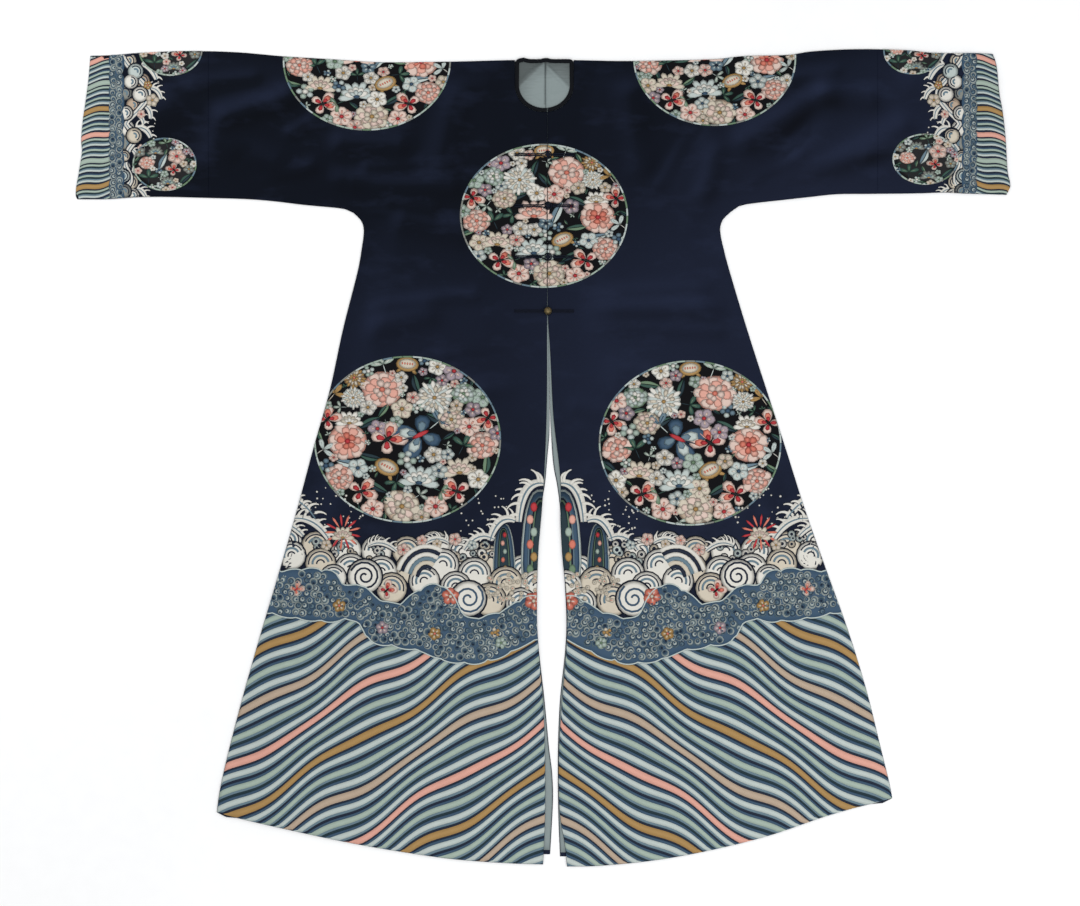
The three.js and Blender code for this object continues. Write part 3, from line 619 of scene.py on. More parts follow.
def raised(side, layer, points, lift):
    """Plan points on the cloth's own face at a height of threads; on the back that is downwards."""
    x, y = points[..., 0], points[..., 1]
    if layer == "back":
        return stacked(x, y, BACK_SKIN - BACK_LIFT * np.asarray(lift))
    past = np.clip(y - fold_y(x), 0, FOLD_END)
    fold = FOLD_RADIUS + np.sqrt(FOLD_RADIUS**2 - past**2)
    return stacked(x, y, np.where(past > 0, fold, front_face(side, x, y)) + lift)


def plan_area(rims):
    """Signed area inside closed outlines: half the sum of cross products round the rim."""
    after = np.roll(rims, -1, axis=-2)
    return 0.5 * (rims[..., 0] * after[..., 1] - rims[..., 1] * after[..., 0]).sum(-1)


class Weaving:
    """Woven shapes of the plan, kept by thread: outlines that are filled, and grids of cells."""

    def __init__(self):
        self.fans = {}
        self.grids = []
        self.serial = 0  # counts the shapes, so that each gets its own small step in height
        self.side = None  # the side that the next shapes belong to, or None for both

    def step(self):
        """A height for the next shape that keeps it clear of shapes on the same level."""
        self.serial += 1
        return STAGGER * (self.serial % STEPS)

    def fan(self, thread, rim, level):
        """A closed outline that is filled."""
        size = float(np.ptp(rim, axis=0).max())
        rings = 1 if size < FEW_RINGS else 2 if size < SOME_RINGS else 4
        key = (thread, len(rim), min(level, TOP_LEVEL), rings, self.side)
        self.fans.setdefault(key, []).append((self.step(), rim))

    def grid(self, thread, points, level):
        """A sheet of cells over a grid of points."""
        lift = LIFT[min(level, TOP_LEVEL)] + self.step()
        self.grids.append((thread, np.asarray(points, float), lift, self.side))

    def band(self, thread, path, width, level):
        """A strip of that width along a path of the plan."""
        path = np.asarray(path, float)
        along = np.gradient(path, axis=0)
        along /= np.maximum(np.linalg.norm(along, axis=1), 1e-9)[:, None]
        across = stacked(-along[:, 1], along[:, 0]) * (np.asarray(width) / 2).reshape(-1, 1)
        self.grid(thread, np.stack([path + across, path - across]), level)

    def motif(self, shapes, threads, x, y, size, turn=0.0, level=1, squash=1.0, within=None):
        """Places a motif: each shape is a shade, a layer and an outline of unit size.

        Within a roundel, points beyond its rim are drawn in to it."""
        c, s = math.cos(turn) * size, math.sin(turn) * size
        for shade, layer, rim in shapes:
            px = x + rim[:, 0] * c - rim[:, 1] * s
            py = y + (rim[:, 0] * s + rim[:, 1] * c) * squash
            if within is not None:
                cx, cy, rx, ry = within
                far = np.maximum(np.hypot((px - cx) / rx, (py - cy) / ry), 1e-9)
                pull = np.minimum(1, ROUNDEL_RIM / far)
                if pull.mean() < LEAST_PULL:
                    continue
                px, py = cx + (px - cx) * pull, cy + (py - cy) * pull
            self.fan(threads[shade % len(threads)], stacked(px, py), level + layer)

    def pieces(self, thread, side, layer):
        """Closed bodies of one thread on one face: lens-like fillings and slabs of cells."""
        parts = []
        for (name, _, level, rings, only), shapes in self.fans.items():
            if name != thread or only not in (None, side):
                continue
            lift = LIFT[level] + np.array([step for step, _ in shapes])[:, None]
            rims = np.array([rim for _, rim in shapes])
            before = np.abs(plan_area(rims))
            rims = tucked(side, layer, rims)
            after = np.abs(plan_area(rims))
            kept = (after > LEAST_SHAPE) & (after > LEAST_SHARE * before)
            if kept.any():
                parts.append(filled(side, layer, rims[kept], lift[kept], rings))
        for name, grid, lift, only in self.grids:
            if name != thread or only not in (None, side):
                continue
            if layer == "back" and grid.shape[1] > LONG_GRID:
                grid = grid[:, np.unique(np.r_[0:grid.shape[1]:2, grid.shape[1] - 1])]
            tuck = tucked(side, layer, grid)
            moved = np.linalg.norm(tuck - grid, axis=-1)
            corners = [np.s_[:-1, :-1], np.s_[:-1, 1:], np.s_[1:, 1:], np.s_[1:, :-1]]
            cells = np.stack([tuck[corner] for corner in corners], -2)
            still = np.min([moved[corner] for corner in corners], axis=0)
            keep = (np.abs(plan_area(cells)) > LEAST_CELL) & (still < LONGEST_TUCK)
            if keep.any():
                wall = slab(raised(side, layer, tuck, lift), raised(side, layer, tuck, ROOT), keep)
                parts.append((*wall, NO_TRIS))
        return parts


def filled(side, layer, rims, lift, rings):
    """Outlines filled as low lenses: rings shrink to a middle point on the top and underneath."""
    count, n = rims.shape[:2]
    middle = rims.mean(axis=1)[:, None]
    tops, unders = [], []
    for share in np.linspace(1, 0, rings + 1):
        ring = middle + (rims - middle) * share if share > 0 else middle
        tops.append(raised(side, layer, ring, lift - CROWN * share))
        if share < 1:
            unders.append(raised(side, layer, ring, ROOT))
    points = np.concatenate([*tops, *unders], axis=1)
    k = np.arange(n)
    after = (k + 1) % n
    top_tip, size = rings * n, points.shape[1]
    over = [r * n for r in range(rings)]
    under = [0] + [top_tip + 1 + r * n for r in range(rings - 1)]
    quads, tris = [np.zeros((0, 4), int)], []
    for chain, tip, a, b in ((over, top_tip, k, after), (under, size - 1, after, k)):
        quads += [stacked(i + a, i + b, j + b, j + a) for i, j in zip(chain, chain[1:])]
        tris.append(stacked(chain[-1] + a, chain[-1] + b, tip))
    base = (np.arange(count) * size)[:, None, None]
    forward = ((plan_area(rims) > 0) == (layer == "front"))[:, None, None]
    return points.reshape(-1, 3), *(
        (np.where(forward, faces, faces[:, ::-1]) + base).reshape(-1, faces.shape[1])
        for faces in (np.concatenate(quads), np.concatenate(tris)))


# ------------------------------------------------------------------------- motifs

def oval(n, rx=1.0, ry=None, x=0.0, y=0.0):
    """Outline of an oval with n corners."""
    a = np.arange(n) / n * TAU
    return stacked(x + rx * np.cos(a), y + (rx if ry is None else ry) * np.sin(a))


def petal(turn, start, end, width, n=8, x=0.0, y=0.0):
    """Petal outline: along runs 0 to 1 and back, half width is sin(a) times (0.5 + 0.5 along)."""
    a = np.arange(n) / n * TAU
    along = 0.5 - 0.5 * np.cos(a)
    far = start + (end - start) * along
    off = np.sin(a) * width * (0.5 + 0.5 * along)
    c, s = math.cos(turn), math.sin(turn)
    return stacked(x + far * c - off * s, y + far * s + off * c)


def ring_of(count, start, end, width, shade, layer, phase=0.0, n=8):
    """Petals round a middle, each a little longer, wider and turned more or less than the next."""
    k = range(count)
    turns = [phase + (i + 0.16 * math.sin(i * 2.3 + phase)) / count * TAU for i in k]
    ends = [end * (1 + 0.10 * math.sin(i * 1.7 + phase * 5)) for i in k]
    widths = [width * (1 + 0.14 * math.sin(i * 2.9 + phase)) for i in k]
    return [(shade, layer, petal(turns[i], start, ends[i], widths[i], n)) for i in k]


def ringed(ground, rings, middle):
    """Kind of flower: rings of petals, outermost first, over a dark ground, and a round middle."""
    def kind(rng):
        phase = rng.uniform(0, TAU)
        shapes = [(4, 0, oval(14, ground))]
        for layer, (count, start, end, width, shade, turn, n) in enumerate(rings, 1):
            shapes += ring_of(count, start, end, width, shade, layer, phase + turn, n)
        return shapes + [(3, 4, oval(*middle))]
    return kind


peony = ringed(0.97, ((8, 0.42, 1.0, 0.36, 0, 0.0, 8), (7, 0.26, 0.76, 0.30, 1, 0.4, 8),
                      (5, 0.08, 0.50, 0.24, 2, 0.0, 8)), (7, 0.15))
daisy = ringed(0.90, ((15, 0.45, 1.0, 0.15, 0, 0.0, 7), (11, 0.24, 0.70, 0.14, 1, 0.3, 7),
                      (7, 0.06, 0.42, 0.13, 0, 0.0, 6)), (6, 0.12))


def blossom(rng):
    """Small five-petalled flower with a spot in each petal and a round middle."""
    p = rng.uniform(0, TAU)
    shapes = [(4, 0, oval(10, 0.86))]
    for k in range(5):
        a = p + k / 5 * TAU
        shapes.append((0, 1, oval(8, 0.43, x=0.55 * math.cos(a), y=0.55 * math.sin(a))))
        shapes.append((1, 2, petal(a, 0.2, 0.66, 0.13, 5)))
    return shapes + [(3, 3, oval(7, 0.19))]


def lotus(rng):
    """Flower seen from the side: petals fan upwards from a cup, the front ones smaller."""
    shapes = [(4, 0, oval(9, 0.62, 0.4, 0, -0.1))]
    for k, a in enumerate(np.linspace(0.02, math.pi - 0.02, 7)):
        far = (1.05 if k % 2 == 0 else 0.92) * (1 + 0.12 * math.sin(a))
        shapes.append((0, 1, petal(a, 0.1, far, 0.27, 8, 0, -0.42)))
    for a in np.linspace(0.4, math.pi - 0.4, 5):
        shapes.append((1, 2, petal(a, 0.05, 0.72, 0.22, 8, 0, -0.4)))
    for a in np.linspace(0.75, math.pi - 0.75, 3):
        shapes.append((2, 3, petal(a, 0.0, 0.5, 0.18, 7, 0, -0.38)))
    return shapes + [(3, 4, oval(7, 0.2, 0.1, 0, -0.36))]


# Wings, their spots and the feelers: shade, layer, turn, start, end, half width and corners.
WINGS = ((0, 1, 0.62, 0.08, 1.05, 0.42, 9), (1, 2, 0.62, 0.12, 0.78, 0.26, 7),
         (2, 3, 0.62, 0.10, 0.50, 0.16, 6), (0, 1, 2.20, 0.06, 0.78, 0.36, 9),
         (2, 2, 2.20, 0.08, 0.55, 0.20, 6), (4, 1, 0.16, 0.20, 0.90, 0.04, 5))


def butterfly(rng):
    """Two large and two small wings with deep spots, and a thin body with feelers."""
    shapes = [(shade, layer, petal(side * turn, *outline))
              for side in (1, -1) for shade, layer, turn, *outline in WINGS]
    return shapes + [(3, 4, oval(8, 0.34, 0.09))]


def leaf(rng):
    """A leaf in two halves with a gap for its middle vein."""
    bend = rng.uniform(-0.15, 0.15)
    a = np.arange(8) / 7
    wide = 0.32 * np.sin(a * math.pi) ** 0.8 * (1 - 0.25 * a)
    spine = bend * np.sin(a * math.pi)
    halves = ((spine + 0.03, spine + 0.03 + wide), (spine - 0.03 - wide, spine - 0.03))
    return [(shade, 0, np.concatenate([stacked(a * 2 - 1, low), stacked(a * 2 - 1, high)[-2:0:-1]]))
            for shade, (low, high) in enumerate(halves)]


def spray(rng):
    """Three leaves from one stalk."""
    shapes = [(1, 0, petal(-1.6, -0.1, 0.9, 0.05, 5))]
    for a in (0.35, 1.55, 2.8):
        shapes.append((0, 1, petal(a, 0.02, 1.0, 0.27, 8)))
        shapes.append((2, 2, petal(a, 0.1, 0.75, 0.06, 5)))
    return shapes


def berries(rng):
    """A cluster of small fruits."""
    shapes = []
    for k in range(5):
        a = k / 5 * TAU + rng.uniform(-0.2, 0.2)
        shapes.append((k % 2, 1, oval(7, 0.32, x=0.55 * math.cos(a), y=0.55 * math.sin(a))))
    return shapes + [(2, 2, oval(7, 0.3))]


def fruit(rng):
    """A rounded fruit cut open: rind, flesh and seeds, with two sepals."""
    shapes = [(0, 1, oval(14, 1.0, 0.72)), (1, 2, oval(12, 0.78, 0.5, 0, 0.05))]
    for k in range(5):
        shapes.append((3, 3, oval(5, 0.08, 0.14, -0.44 + 0.22 * k, 0.06)))
    return shapes + [(2, 0, petal(-2.4, 0.4, 1.25, 0.2, 7)), (2, 0, petal(-0.8, 0.4, 1.25, 0.2, 7))]


PALETTES = {
    "white": ("white", "ivory", "white", "ochre", "mist"),
    "cream": ("ivory", "blush", "ivory", "ochre", "sand"),
    "pink": ("blush", "pink", "blush", "coral", "pink"),
    "rose": ("blush", "pink", "coral", "crimson", "pink"),
    "red": ("blush", "coral", "crimson", "black", "pink"),
    "sky": ("mist", "white", "mist", "blue", "slate"),
    "deep": ("slate", "mist", "blue", "navy", "navy"),
    "gold": ("ochre", "ivory", "ochre", "coral", "brown"),
    "sea": ("sea", "mist", "white", "leaf", "leaf"),
    "leaf": ("leaf", "green", "sea", "sea", "green"),
    "dark_leaf": ("green", "teal", "leaf", "sea", "teal"),
    "lilac": ("lilac", "blush", "mist", "crimson", "grey"),
    "scarlet": ("coral", "blush", "crimson", "ivory", "crimson"),
    "dim": ("grey", "sea", "slate", "ochre", "brown"),
    "night": ("blue", "mist", "slate", "crimson", "navy"),
}

# Main flowers of a roundel: kind, place and size in shares of its half axes, turn, palette.
BOUQUET = (
    ("daisy", -0.29, 0.50, 0.185, 0.2, "white"), ("peony", 0.27, 0.60, 0.20, 0.0, "pink"),
    ("peony", 0.64, -0.02, 0.195, 0.5, "rose"), ("lotus", -0.12, 0.08, 0.20, 0.0, "pink"),
    ("peony", -0.47, 0.24, 0.13, 0.0, "cream"), ("lotus", -0.13, -0.44, 0.19, 0.1, "sky"),
    ("lotus", -0.55, -0.33, 0.165, -0.1, "cream"), ("peony", 0.06, -0.80, 0.18, 0.0, "cream"),
    ("fruit", 0.22, -0.33, 0.125, 0.5, "gold"), ("butterfly", -0.86, 0.26, 0.15, -1.0, "red"),
    ("butterfly", 0.86, 0.24, 0.15, 2.3, "red"), ("butterfly", -0.53, -0.62, 0.17, 0.3, "red"),
    ("butterfly", 0.50, -0.62, 0.17, 2.9, "red"), ("peony", -0.80, -0.07, 0.15, 0.0, "pink"),
    ("peony", 0.73, -0.46, 0.145, 0.0, "pink"), ("daisy", 0.57, 0.74, 0.115, 0.0, "gold"),
    ("daisy", 0.58, 0.50, 0.12, 0.0, "white"), ("blossom", 0.12, 0.30, 0.13, 0.0, "rose"),
    ("lotus", 0.62, 0.25, 0.13, 0.0, "white"), ("blossom", 0.53, -0.34, 0.11, 0.0, "sky"),
    ("blossom", -0.30, -0.80, 0.13, 0.3, "rose"), ("blossom", 0.37, -0.83, 0.12, 0.8, "rose"),
    ("peony", -0.60, 0.55, 0.12, 0.0, "sea"), ("fruit", 0.0, 0.90, 0.11, 0.1, "gold"),
    ("spray", 0.26, 0.90, 0.13, -0.3, "sea"), ("spray", -0.60, -0.07, 0.14, 0.4, "dark_leaf"),
    ("leaf", -0.33, 0.25, 0.13, 0.4, "dark_leaf"), ("leaf", 0.16, 0.04, 0.15, 1.2, "deep"),
    ("spray", -0.36, -0.62, 0.12, 2.0, "leaf"), ("leaf", 0.40, 0.20, 0.12, -0.5, "dark_leaf"),
    ("blossom", 0.32, 0.13, 0.10, 0.0, "lilac"), ("blossom", -0.70, 0.36, 0.09, 0.0, "lilac"),
    ("blossom", -0.32, 0.87, 0.10, 0.0, "white"), ("leaf", -0.10, 0.66, 0.11, 1.3, "dark_leaf"),
    ("blossom", 0.02, -0.10, 0.09, 0.0, "deep"), ("leaf", 0.32, -0.56, 0.12, 0.6, "dark_leaf"),
    ("spray", 0.90, -0.12, 0.12, 1.0, "sky"), ("leaf", 0.62, -0.28, 0.13, 0.2, "deep"),
    ("blossom", -0.28, -0.18, 0.10, 0.5, "white"), ("spray", 0.78, 0.55, 0.12, 0.6, "gold"),
)
# The lower roundels have a large blue butterfly in the middle of the flowers.
LOWER_BOUQUET = (
    ("butterfly", -0.14, 0.06, 0.27, -0.5, "night"), ("butterfly", 0.22, 0.00, 0.20, 2.5, "red"),
    ("spray", -0.34, 0.22, 0.15, 0.8, "deep")) + tuple(
        flower for flower in BOUQUET if math.hypot(flower[1], flower[2] - 0.05) > 0.3)
SMALL_BOUQUET = (
    ("peony", -0.55, 0.05, 0.22, 0, "pink"), ("blossom", 0.38, 0.30, 0.27, 0, "rose"),
    ("lotus", 0.10, -0.62, 0.24, 0, "dim"), ("butterfly", 0.30, -0.22, 0.25, 2.2, "red"),
    ("lotus", -0.28, 0.52, 0.23, 0, "dim"), ("spray", -0.50, -0.50, 0.30, 0, "dark_leaf"),
    ("leaf", -0.05, 0.10, 0.28, 1.2, "deep"), ("blossom", 0.76, -0.18, 0.17, 0, "dim"),
    ("spray", 0.05, 0.80, 0.22, 0.3, "leaf"), ("leaf", 0.66, -0.55, 0.24, 0.8, "dark_leaf"),
    ("blossom", -0.78, 0.46, 0.18, 0, "dim"),
)
# Small flowers between the main ones, in turn, and their sizes in shares of the half axis.
FILLERS = (
    ("blossom", "white"), ("blossom", "cream"), ("leaf", "leaf"), ("blossom", "lilac"),
    ("spray", "dark_leaf"), ("berries", "sea"), ("blossom", "sea"), ("leaf", "dark_leaf"),
    ("blossom", "rose"), ("berries", "deep"), ("spray", "sea"), ("blossom", "sky"),
)
FILLER_SIZES, SMALL_FILLER_SIZES = (0.120, 0.096, 0.074, 0.052, 0.038), (0.13, 0.095)
SPOTS, SPOT_LIMIT = 9000, 0.965  # random places that are tried for them, out to this share
FLOWER_SCALE, FILLER_SCALE = 1.12, 1.08
# What flowers take up of their size, and the free room that a small one needs of its own.
FLOWER_ROOM, LOTUS_ROOM, FILLER_ROOM, FILLER_GAP = 0.90, 0.74, 0.88, 0.74
KINDS = {"peony": peony, "daisy": daisy, "blossom": blossom, "lotus": lotus, "butterfly": butterfly,
         "leaf": leaf, "spray": spray, "berries": berries, "fruit": fruit}


def fill_roundel(art, place, rng, flowers, filler_sizes, mirror=1, level=0):
    """Main flowers at their places, then small ones wherever a random spot is still free."""
    cx, cy, rx, ry = place
    taken = []

    def weave(shapes, palette, x, y, size, turn):
        art.motif(shapes, PALETTES[palette], cx + x * rx, cy + y * ry, size, turn, level, ry / rx,
                  place)

    for kind, x, y, size, turn, palette in flowers:
        x = x * mirror
        taken.append((x, y, size * (LOTUS_ROOM if kind == "lotus" else FLOWER_ROOM)))
        if mirror < 0:
            turn = math.pi - turn if kind == "butterfly" else -turn
        weave(KINDS[kind](rng), palette, x, y, size * rx * FLOWER_SCALE, turn)
    spots = rng.uniform(-1, 1, (SPOTS, 2))
    spots = spots[np.hypot(*spots.T) < SPOT_LIMIT]
    count = 0
    for size in filler_sizes:
        for x, y in spots:
            near = np.asarray(taken)
            gap = np.hypot(near[:, 0] - x, near[:, 1] - y) - near[:, 2]
            if gap.min() < size * FILLER_GAP:
                continue
            kind, palette = FILLERS[count % len(FILLERS)]
            count += 1
            taken.append((x, y, size * FILLER_ROOM))
            shapes = KINDS[kind](rng)
            weave(shapes, palette, x, y, size * rx * FILLER_SCALE, rng.uniform(0, TAU))


def ring_outline(art, place, width, count, rng, level=1):
    """Fine broken line of pale threads round a roundel."""
    cx, cy, rx, ry = place
    for start in np.arange(count) / count * TAU:
        a = start + np.linspace(0, TAU / count * 0.97, 5)
        path = stacked(cx + (rx - width / 2) * np.cos(a), cy + (ry - width / 2) * np.sin(a))
        art.band(("sea", "slate", "grey", "leaf", "mist")[rng.integers(5)], path, width, level)


# ------------------------------------------------------------------------- waves and stripes

# Levels of the ornament: foam from its spray and crests up to the stippling, then the roundels
# of the sleeves and the band of scrolls.
SPRAY, RING_FOAM, ROCK, CREST, RAYS, LOTUS, SMALL_FLOWERS, CURLS, STIPPLE = (
    1, 2, 3, 6, 9, 10, 12, 15, 16)
SMALL_GROUND, BAND, SCROLLS, BAND_FLOWERS, BAND_RIM = 17, 18, 19, 21, 23
SLIT_X = 14.0  # the two hems mirror each other about this line
SLOPE = -0.60
WAVE_LENGTH = 236.0
FIRST_STRIPE, LAST_STRIPE = -1028.0, 120  # heights at the slit
UNDER_BAND, BELOW_HEM = 14, -740  # stripes run so far under the scrolls and down past the hem
# Widths and threads of the stripes between two coloured ones.
STRIPE_RUN = (("navy", 3.6), ("slate", 3.4), ("mist", 8.0), ("blue", 4.0),
              ("teal", 3.8), ("slate", 3.4), ("sea", 8.2), ("blue", 3.8),
              ("navy", 3.6), ("slate", 3.6), ("mist", 7.8), ("blue", 4.0), ("navy", 2.8))
COLOURED, COLOURED_WIDTH = ("ochre", "pink", "sand"), 10.8
DARK = ("navy", "teal")  # threads that lie lowest


def stripe_y(x, offset):
    """Lazy wave: a straight slope plus a sine whose phase drifts from stripe to stripe."""
    return (offset + SLOPE * x + 8.0 * np.sin(TAU * (x + 0.42 * offset) / WAVE_LENGTH + 0.6)
            + 2.4 * np.sin(TAU * (x - 0.3 * offset) / 131 + 1.9))


SCROLL_TOP = np.array([
    (-10, -236), (43, -240), (64, -244), (91, -262), (118, -272), (160, -276), (182, -240),
    (205, -221), (232, -224), (256, -240), (276, -253), (312, -244), (338, -222), (368, -221),
    (386, -200), (425, -193), (487, -197), (560, -190)], float)
SCROLL_FOOT = np.array([
    (-10, -306), (45, -313), (96, -338), (143, -351), (201, -345), (234, -331), (282, -322),
    (328, -310), (346, -279), (400, -279), (450, -274), (521, -262), (600, -258)], float)


def mirrored(points, side):
    """Points of the left hem as they are, or turned over the slit's line for the right one."""
    points = np.asarray(points, float).copy()
    if side == "right":
        points[..., 0] = 2 * SLIT_X - points[..., 0]
    return points


def scalloped(rows, x, rise, pitch):
    """Curve with cloud-like bumps: rise times the root of |sin| along the pitch."""
    return follow(rows, x) + rise * np.sqrt(np.abs(np.sin(math.pi * x / pitch)))


def stripe(art, put, thread, x, low, high):
    """A stripe between two curves over the same stations."""
    art.grid(thread, put([stacked(x, low), stacked(x, high)]), 0 if thread in DARK else 1)


def hem_stripes(art, side):
    """Slanting stripes from the scroll band to the hem: each fills the gap of two waves."""
    steep = 1 / math.cos(math.atan(SLOPE))
    art.side = side
    put = partial(mirrored, side=side)
    offset, k = FIRST_STRIPE, 0
    x = np.arange(-14.0, 640.0, 8.0)
    foot = follow(SCROLL_FOOT, x)
    while offset < LAST_STRIPE:
        for thread, width in ((COLOURED[k % len(COLOURED)], COLOURED_WIDTH), *STRIPE_RUN):
            low, high = stripe_y(x, offset), stripe_y(x, offset + width * steep)
            seen = np.flatnonzero((low < foot + UNDER_BAND) & (high > BELOW_HEM))
            for part in np.split(seen, np.flatnonzero(np.diff(seen) > 1) + 1):
                if len(part) > 1:
                    stripe(art, put, thread, x[part], low[part], high[part])
            offset += width * steep
        k += 1


# Each scroll is four discs, one in the other and off to one side.
SCROLL_THREADS = (("mist", "blue", "slate", "blue"), ("mist", "slate", "blue", "navy"),
                  ("slate", "mist", "blue", "slate"), ("mist", "blue", "mist", "blue"),
                  ("slate", "blue", "mist", "blue"), ("mist", "slate", "mist", "blue"))


def scroll(art, put, x, y, radius, turn, level, threads):
    """Cloud scroll: discs one in the other, each smaller and set off towards one side."""
    for k, (share, n, thread) in enumerate(zip((1.0, 0.76, 0.54, 0.28), (11, 10, 8, 6), threads)):
        off = radius * (1 - share) * 0.55
        disc = oval(n, radius * share, x=x + off * math.cos(turn), y=y + off * math.sin(turn))
        art.fan(thread, put(disc), level + k)


def strew(art, put, rng, flowers, turn, level):
    """Single small motifs at their places."""
    for kind, x, y, size, palette in flowers:
        art.motif(KINDS[kind](rng), PALETTES[palette], *put([x, y]), size, turn, level)


SCROLL_FLOWERS = (
    ("blossom", 44, -246, 17, "scarlet"), ("blossom", 187, -238, 16, "scarlet"),
    ("blossom", 214, -302, 12, "gold"), ("butterfly", 297, -228, 19, "red"),
    ("blossom", 304, -292, 12, "lilac"), ("blossom", 378, -254, 12, "gold"),
    ("butterfly", 452, -226, 15, "rose"), ("berries", 110, -300, 10, "gold"),
    ("blossom", 100, -318, 11, "sea"))
SCROLL_PITCH = 12.6


def scroll_band(art, side, rng):
    """Blue ground between two scalloped curves, full of small pale scrolls, with a pale rim."""
    art.side = side
    put = partial(mirrored, side=side)
    x = np.arange(-12.0, 560.0, 5.0)
    top, foot = scalloped(SCROLL_TOP, x, 5.0, 34), scalloped(SCROLL_FOOT, x, -5.0, 41)
    rows = np.linspace(0, 1, 9)[:, None]
    art.grid("blue", put(stacked(x, foot + (top - foot) * rows)), BAND)
    for edge in (top - 1.2, foot + 1.2):
        art.band("mist", put(stacked(x, edge)), 2.0, BAND_RIM)
    for r in range(-3, 15):
        for c in range(50):
            px = -12 + (c + 0.5 * (r % 2)) * SCROLL_PITCH + rng.uniform(-1.5, 1.5)
            py = -352 + r * SCROLL_PITCH * 0.87 + rng.uniform(-1.5, 1.5)
            py += (follow(SCROLL_FOOT, px) + 351) * 0.55
            if not follow(SCROLL_FOOT, px) + 6 < py < follow(SCROLL_TOP, px) - 4:
                continue
            scroll(art, put, px, py, rng.uniform(6.2, 7.4), rng.uniform(0, TAU), SCROLLS,
                   SCROLL_THREADS[rng.integers(len(SCROLL_THREADS))])
    strew(art, put, rng, SCROLL_FLOWERS, 0.7, BAND_FLOWERS)


def bent(start, through, end, count):
    """Curve (1-t)^2 start + 2t(1-t) through + t^2 end."""
    t = np.linspace(0, 1, count)[:, None]
    start, through, end = np.array(start), np.array(through), np.array(end)
    return (1 - t) ** 2 * start + 2 * t * (1 - t) * through + t**2 * end


def claw(art, put, x, y, turn, length, width, curl, level):
    """One hooked finger of foam: it bends evenly by the curl and narrows to its tip."""
    t = np.linspace(0, 1, 6)
    angle = turn - curl * t
    steps = length / 5 * np.stack([np.cos(angle), np.sin(angle)], -1)
    path = np.array([x, y]) + np.cumsum(steps, axis=0) - steps[0]
    taper = width * (1 - 0.72 * t)
    art.band("navy", put(path), taper + 2.2, level)
    art.band("white", put(path), taper, level + 1)


def crest(art, put, start, through, end, reach, level, out=1.0):
    """A breaking crest: a bent band of foam over a dark edge, with hooked fingers on one side."""
    path = bent(start, through, end, 14)
    width = 0.62 * reach * (0.4 + 0.6 * np.sin(np.linspace(0.25, 2.7, 14)))
    art.band("navy", put(path), width + 4.0, level)
    art.band("white", put(path), width, level + 1)
    art.band("slate", put(path - [0.8, 0.8]), width * 0.2, level + 2)
    count = max(4, int(np.linalg.norm(np.subtract(end, start)) / (reach * 0.40)))
    for k in range(count):
        at = 1 + int(k * 11 / (count - 1))
        dx, dy = path[at + 1] - path[at - 1]
        turn = math.atan2(dx * out, -dy * out) + 0.3 * out + 0.2 * math.sin(k * 2.1)
        x, y = path[at]
        length = reach * (0.95 + 0.2 * math.sin(k * 1.3))
        claw(art, put, x, y, turn, length, reach * 0.26, 1.5 * out, level)


def coil(art, put, x, y, radius, turns, threads, level, start=0.0):
    """Coiled wave: a band along a spiral whose radius shrinks evenly with the angle."""
    a = start + np.linspace(0, TAU * turns, int(14 * turns))
    r = radius * np.linspace(0.9, 0.12, len(a))
    art.fan("navy", put(oval(20, radius * 1.1, x=x, y=y)), level)
    art.fan(threads[1], put(oval(20, radius, x=x, y=y)), level + 1)
    spiral = stacked(x + r * np.cos(a), y + r * np.sin(a))
    art.band(threads[0], put(spiral), radius * 0.12, level + 2)


# Arcs of a swell, and of one below that radius: share of the radius, thread and width.
ARCS = ((0.80, "navy", 2.4), (0.54, "slate", 3.8), (0.26, "navy", 2.6))
SMALL_ARCS, SMALL_SWELL = ((0.68, "navy", 2.0), (0.30, "slate", 3.2)), 16


def swell(art, put, x, y, radius, level, turn=1.57, face="white"):
    """Rounded wave: a pale disc over a dark one, with nested arcs in dark and middle threads."""
    art.fan("navy", put(oval(16, radius + 2.2, x=x, y=y)), level)
    art.fan(face, put(oval(16, radius, x=x, y=y)), level + 1)
    for share, thread, width in SMALL_ARCS if radius < SMALL_SWELL else ARCS:
        a = turn + np.linspace(-1.5, 1.5, 11)
        path = stacked(x + radius * share * np.cos(a), y + radius * share * np.sin(a))
        art.band(thread, put(path), width, level + 2)


SLIT_ROCK_MIDDLE = 47.0  # middle of the part of the rock beside the slit that shows
# A rock's nested tongues, outermost first, with their insets in shares of its half width.
TONGUES = ((0.0, "mist"), (0.10, "blue"), (0.32, "slate"), (0.40, "navy"), (0.50, "leaf"),
           (0.58, "teal"))


def rock(art, put, x, foot, top, half, lean, level):
    """Standing rock: nested tongues with round tops, and bright spots up the middle."""
    a = np.linspace(0, TAU, 23)[:-1]
    c, s = np.cos(a), np.sin(a)
    up = 0.5 + 0.5 * np.sign(s) * np.abs(s) ** 0.8
    for k, (inset, thread) in enumerate(TONGUES):
        wide = half * (1 - inset) * np.sign(c) * np.abs(c) ** 0.7 * (1.12 - 0.34 * up)
        tongue = stacked(x + lean * up + wide, foot + (top - inset * half - foot) * up)
        art.fan(thread, put(tongue), level + k)
    middle = max(x, SLIT_ROCK_MIDDLE)
    for k, thread in enumerate(("leaf", "ochre", "coral", "sea", "pink", "crimson")):
        height = 0.26 + 0.115 * k
        spot = oval(8, half * 0.17, half * 0.24, middle + lean * height + half * 0.09 * (-1) ** k,
                    foot + (top - foot) * height)
        art.fan(thread, put(spot), level + 6)


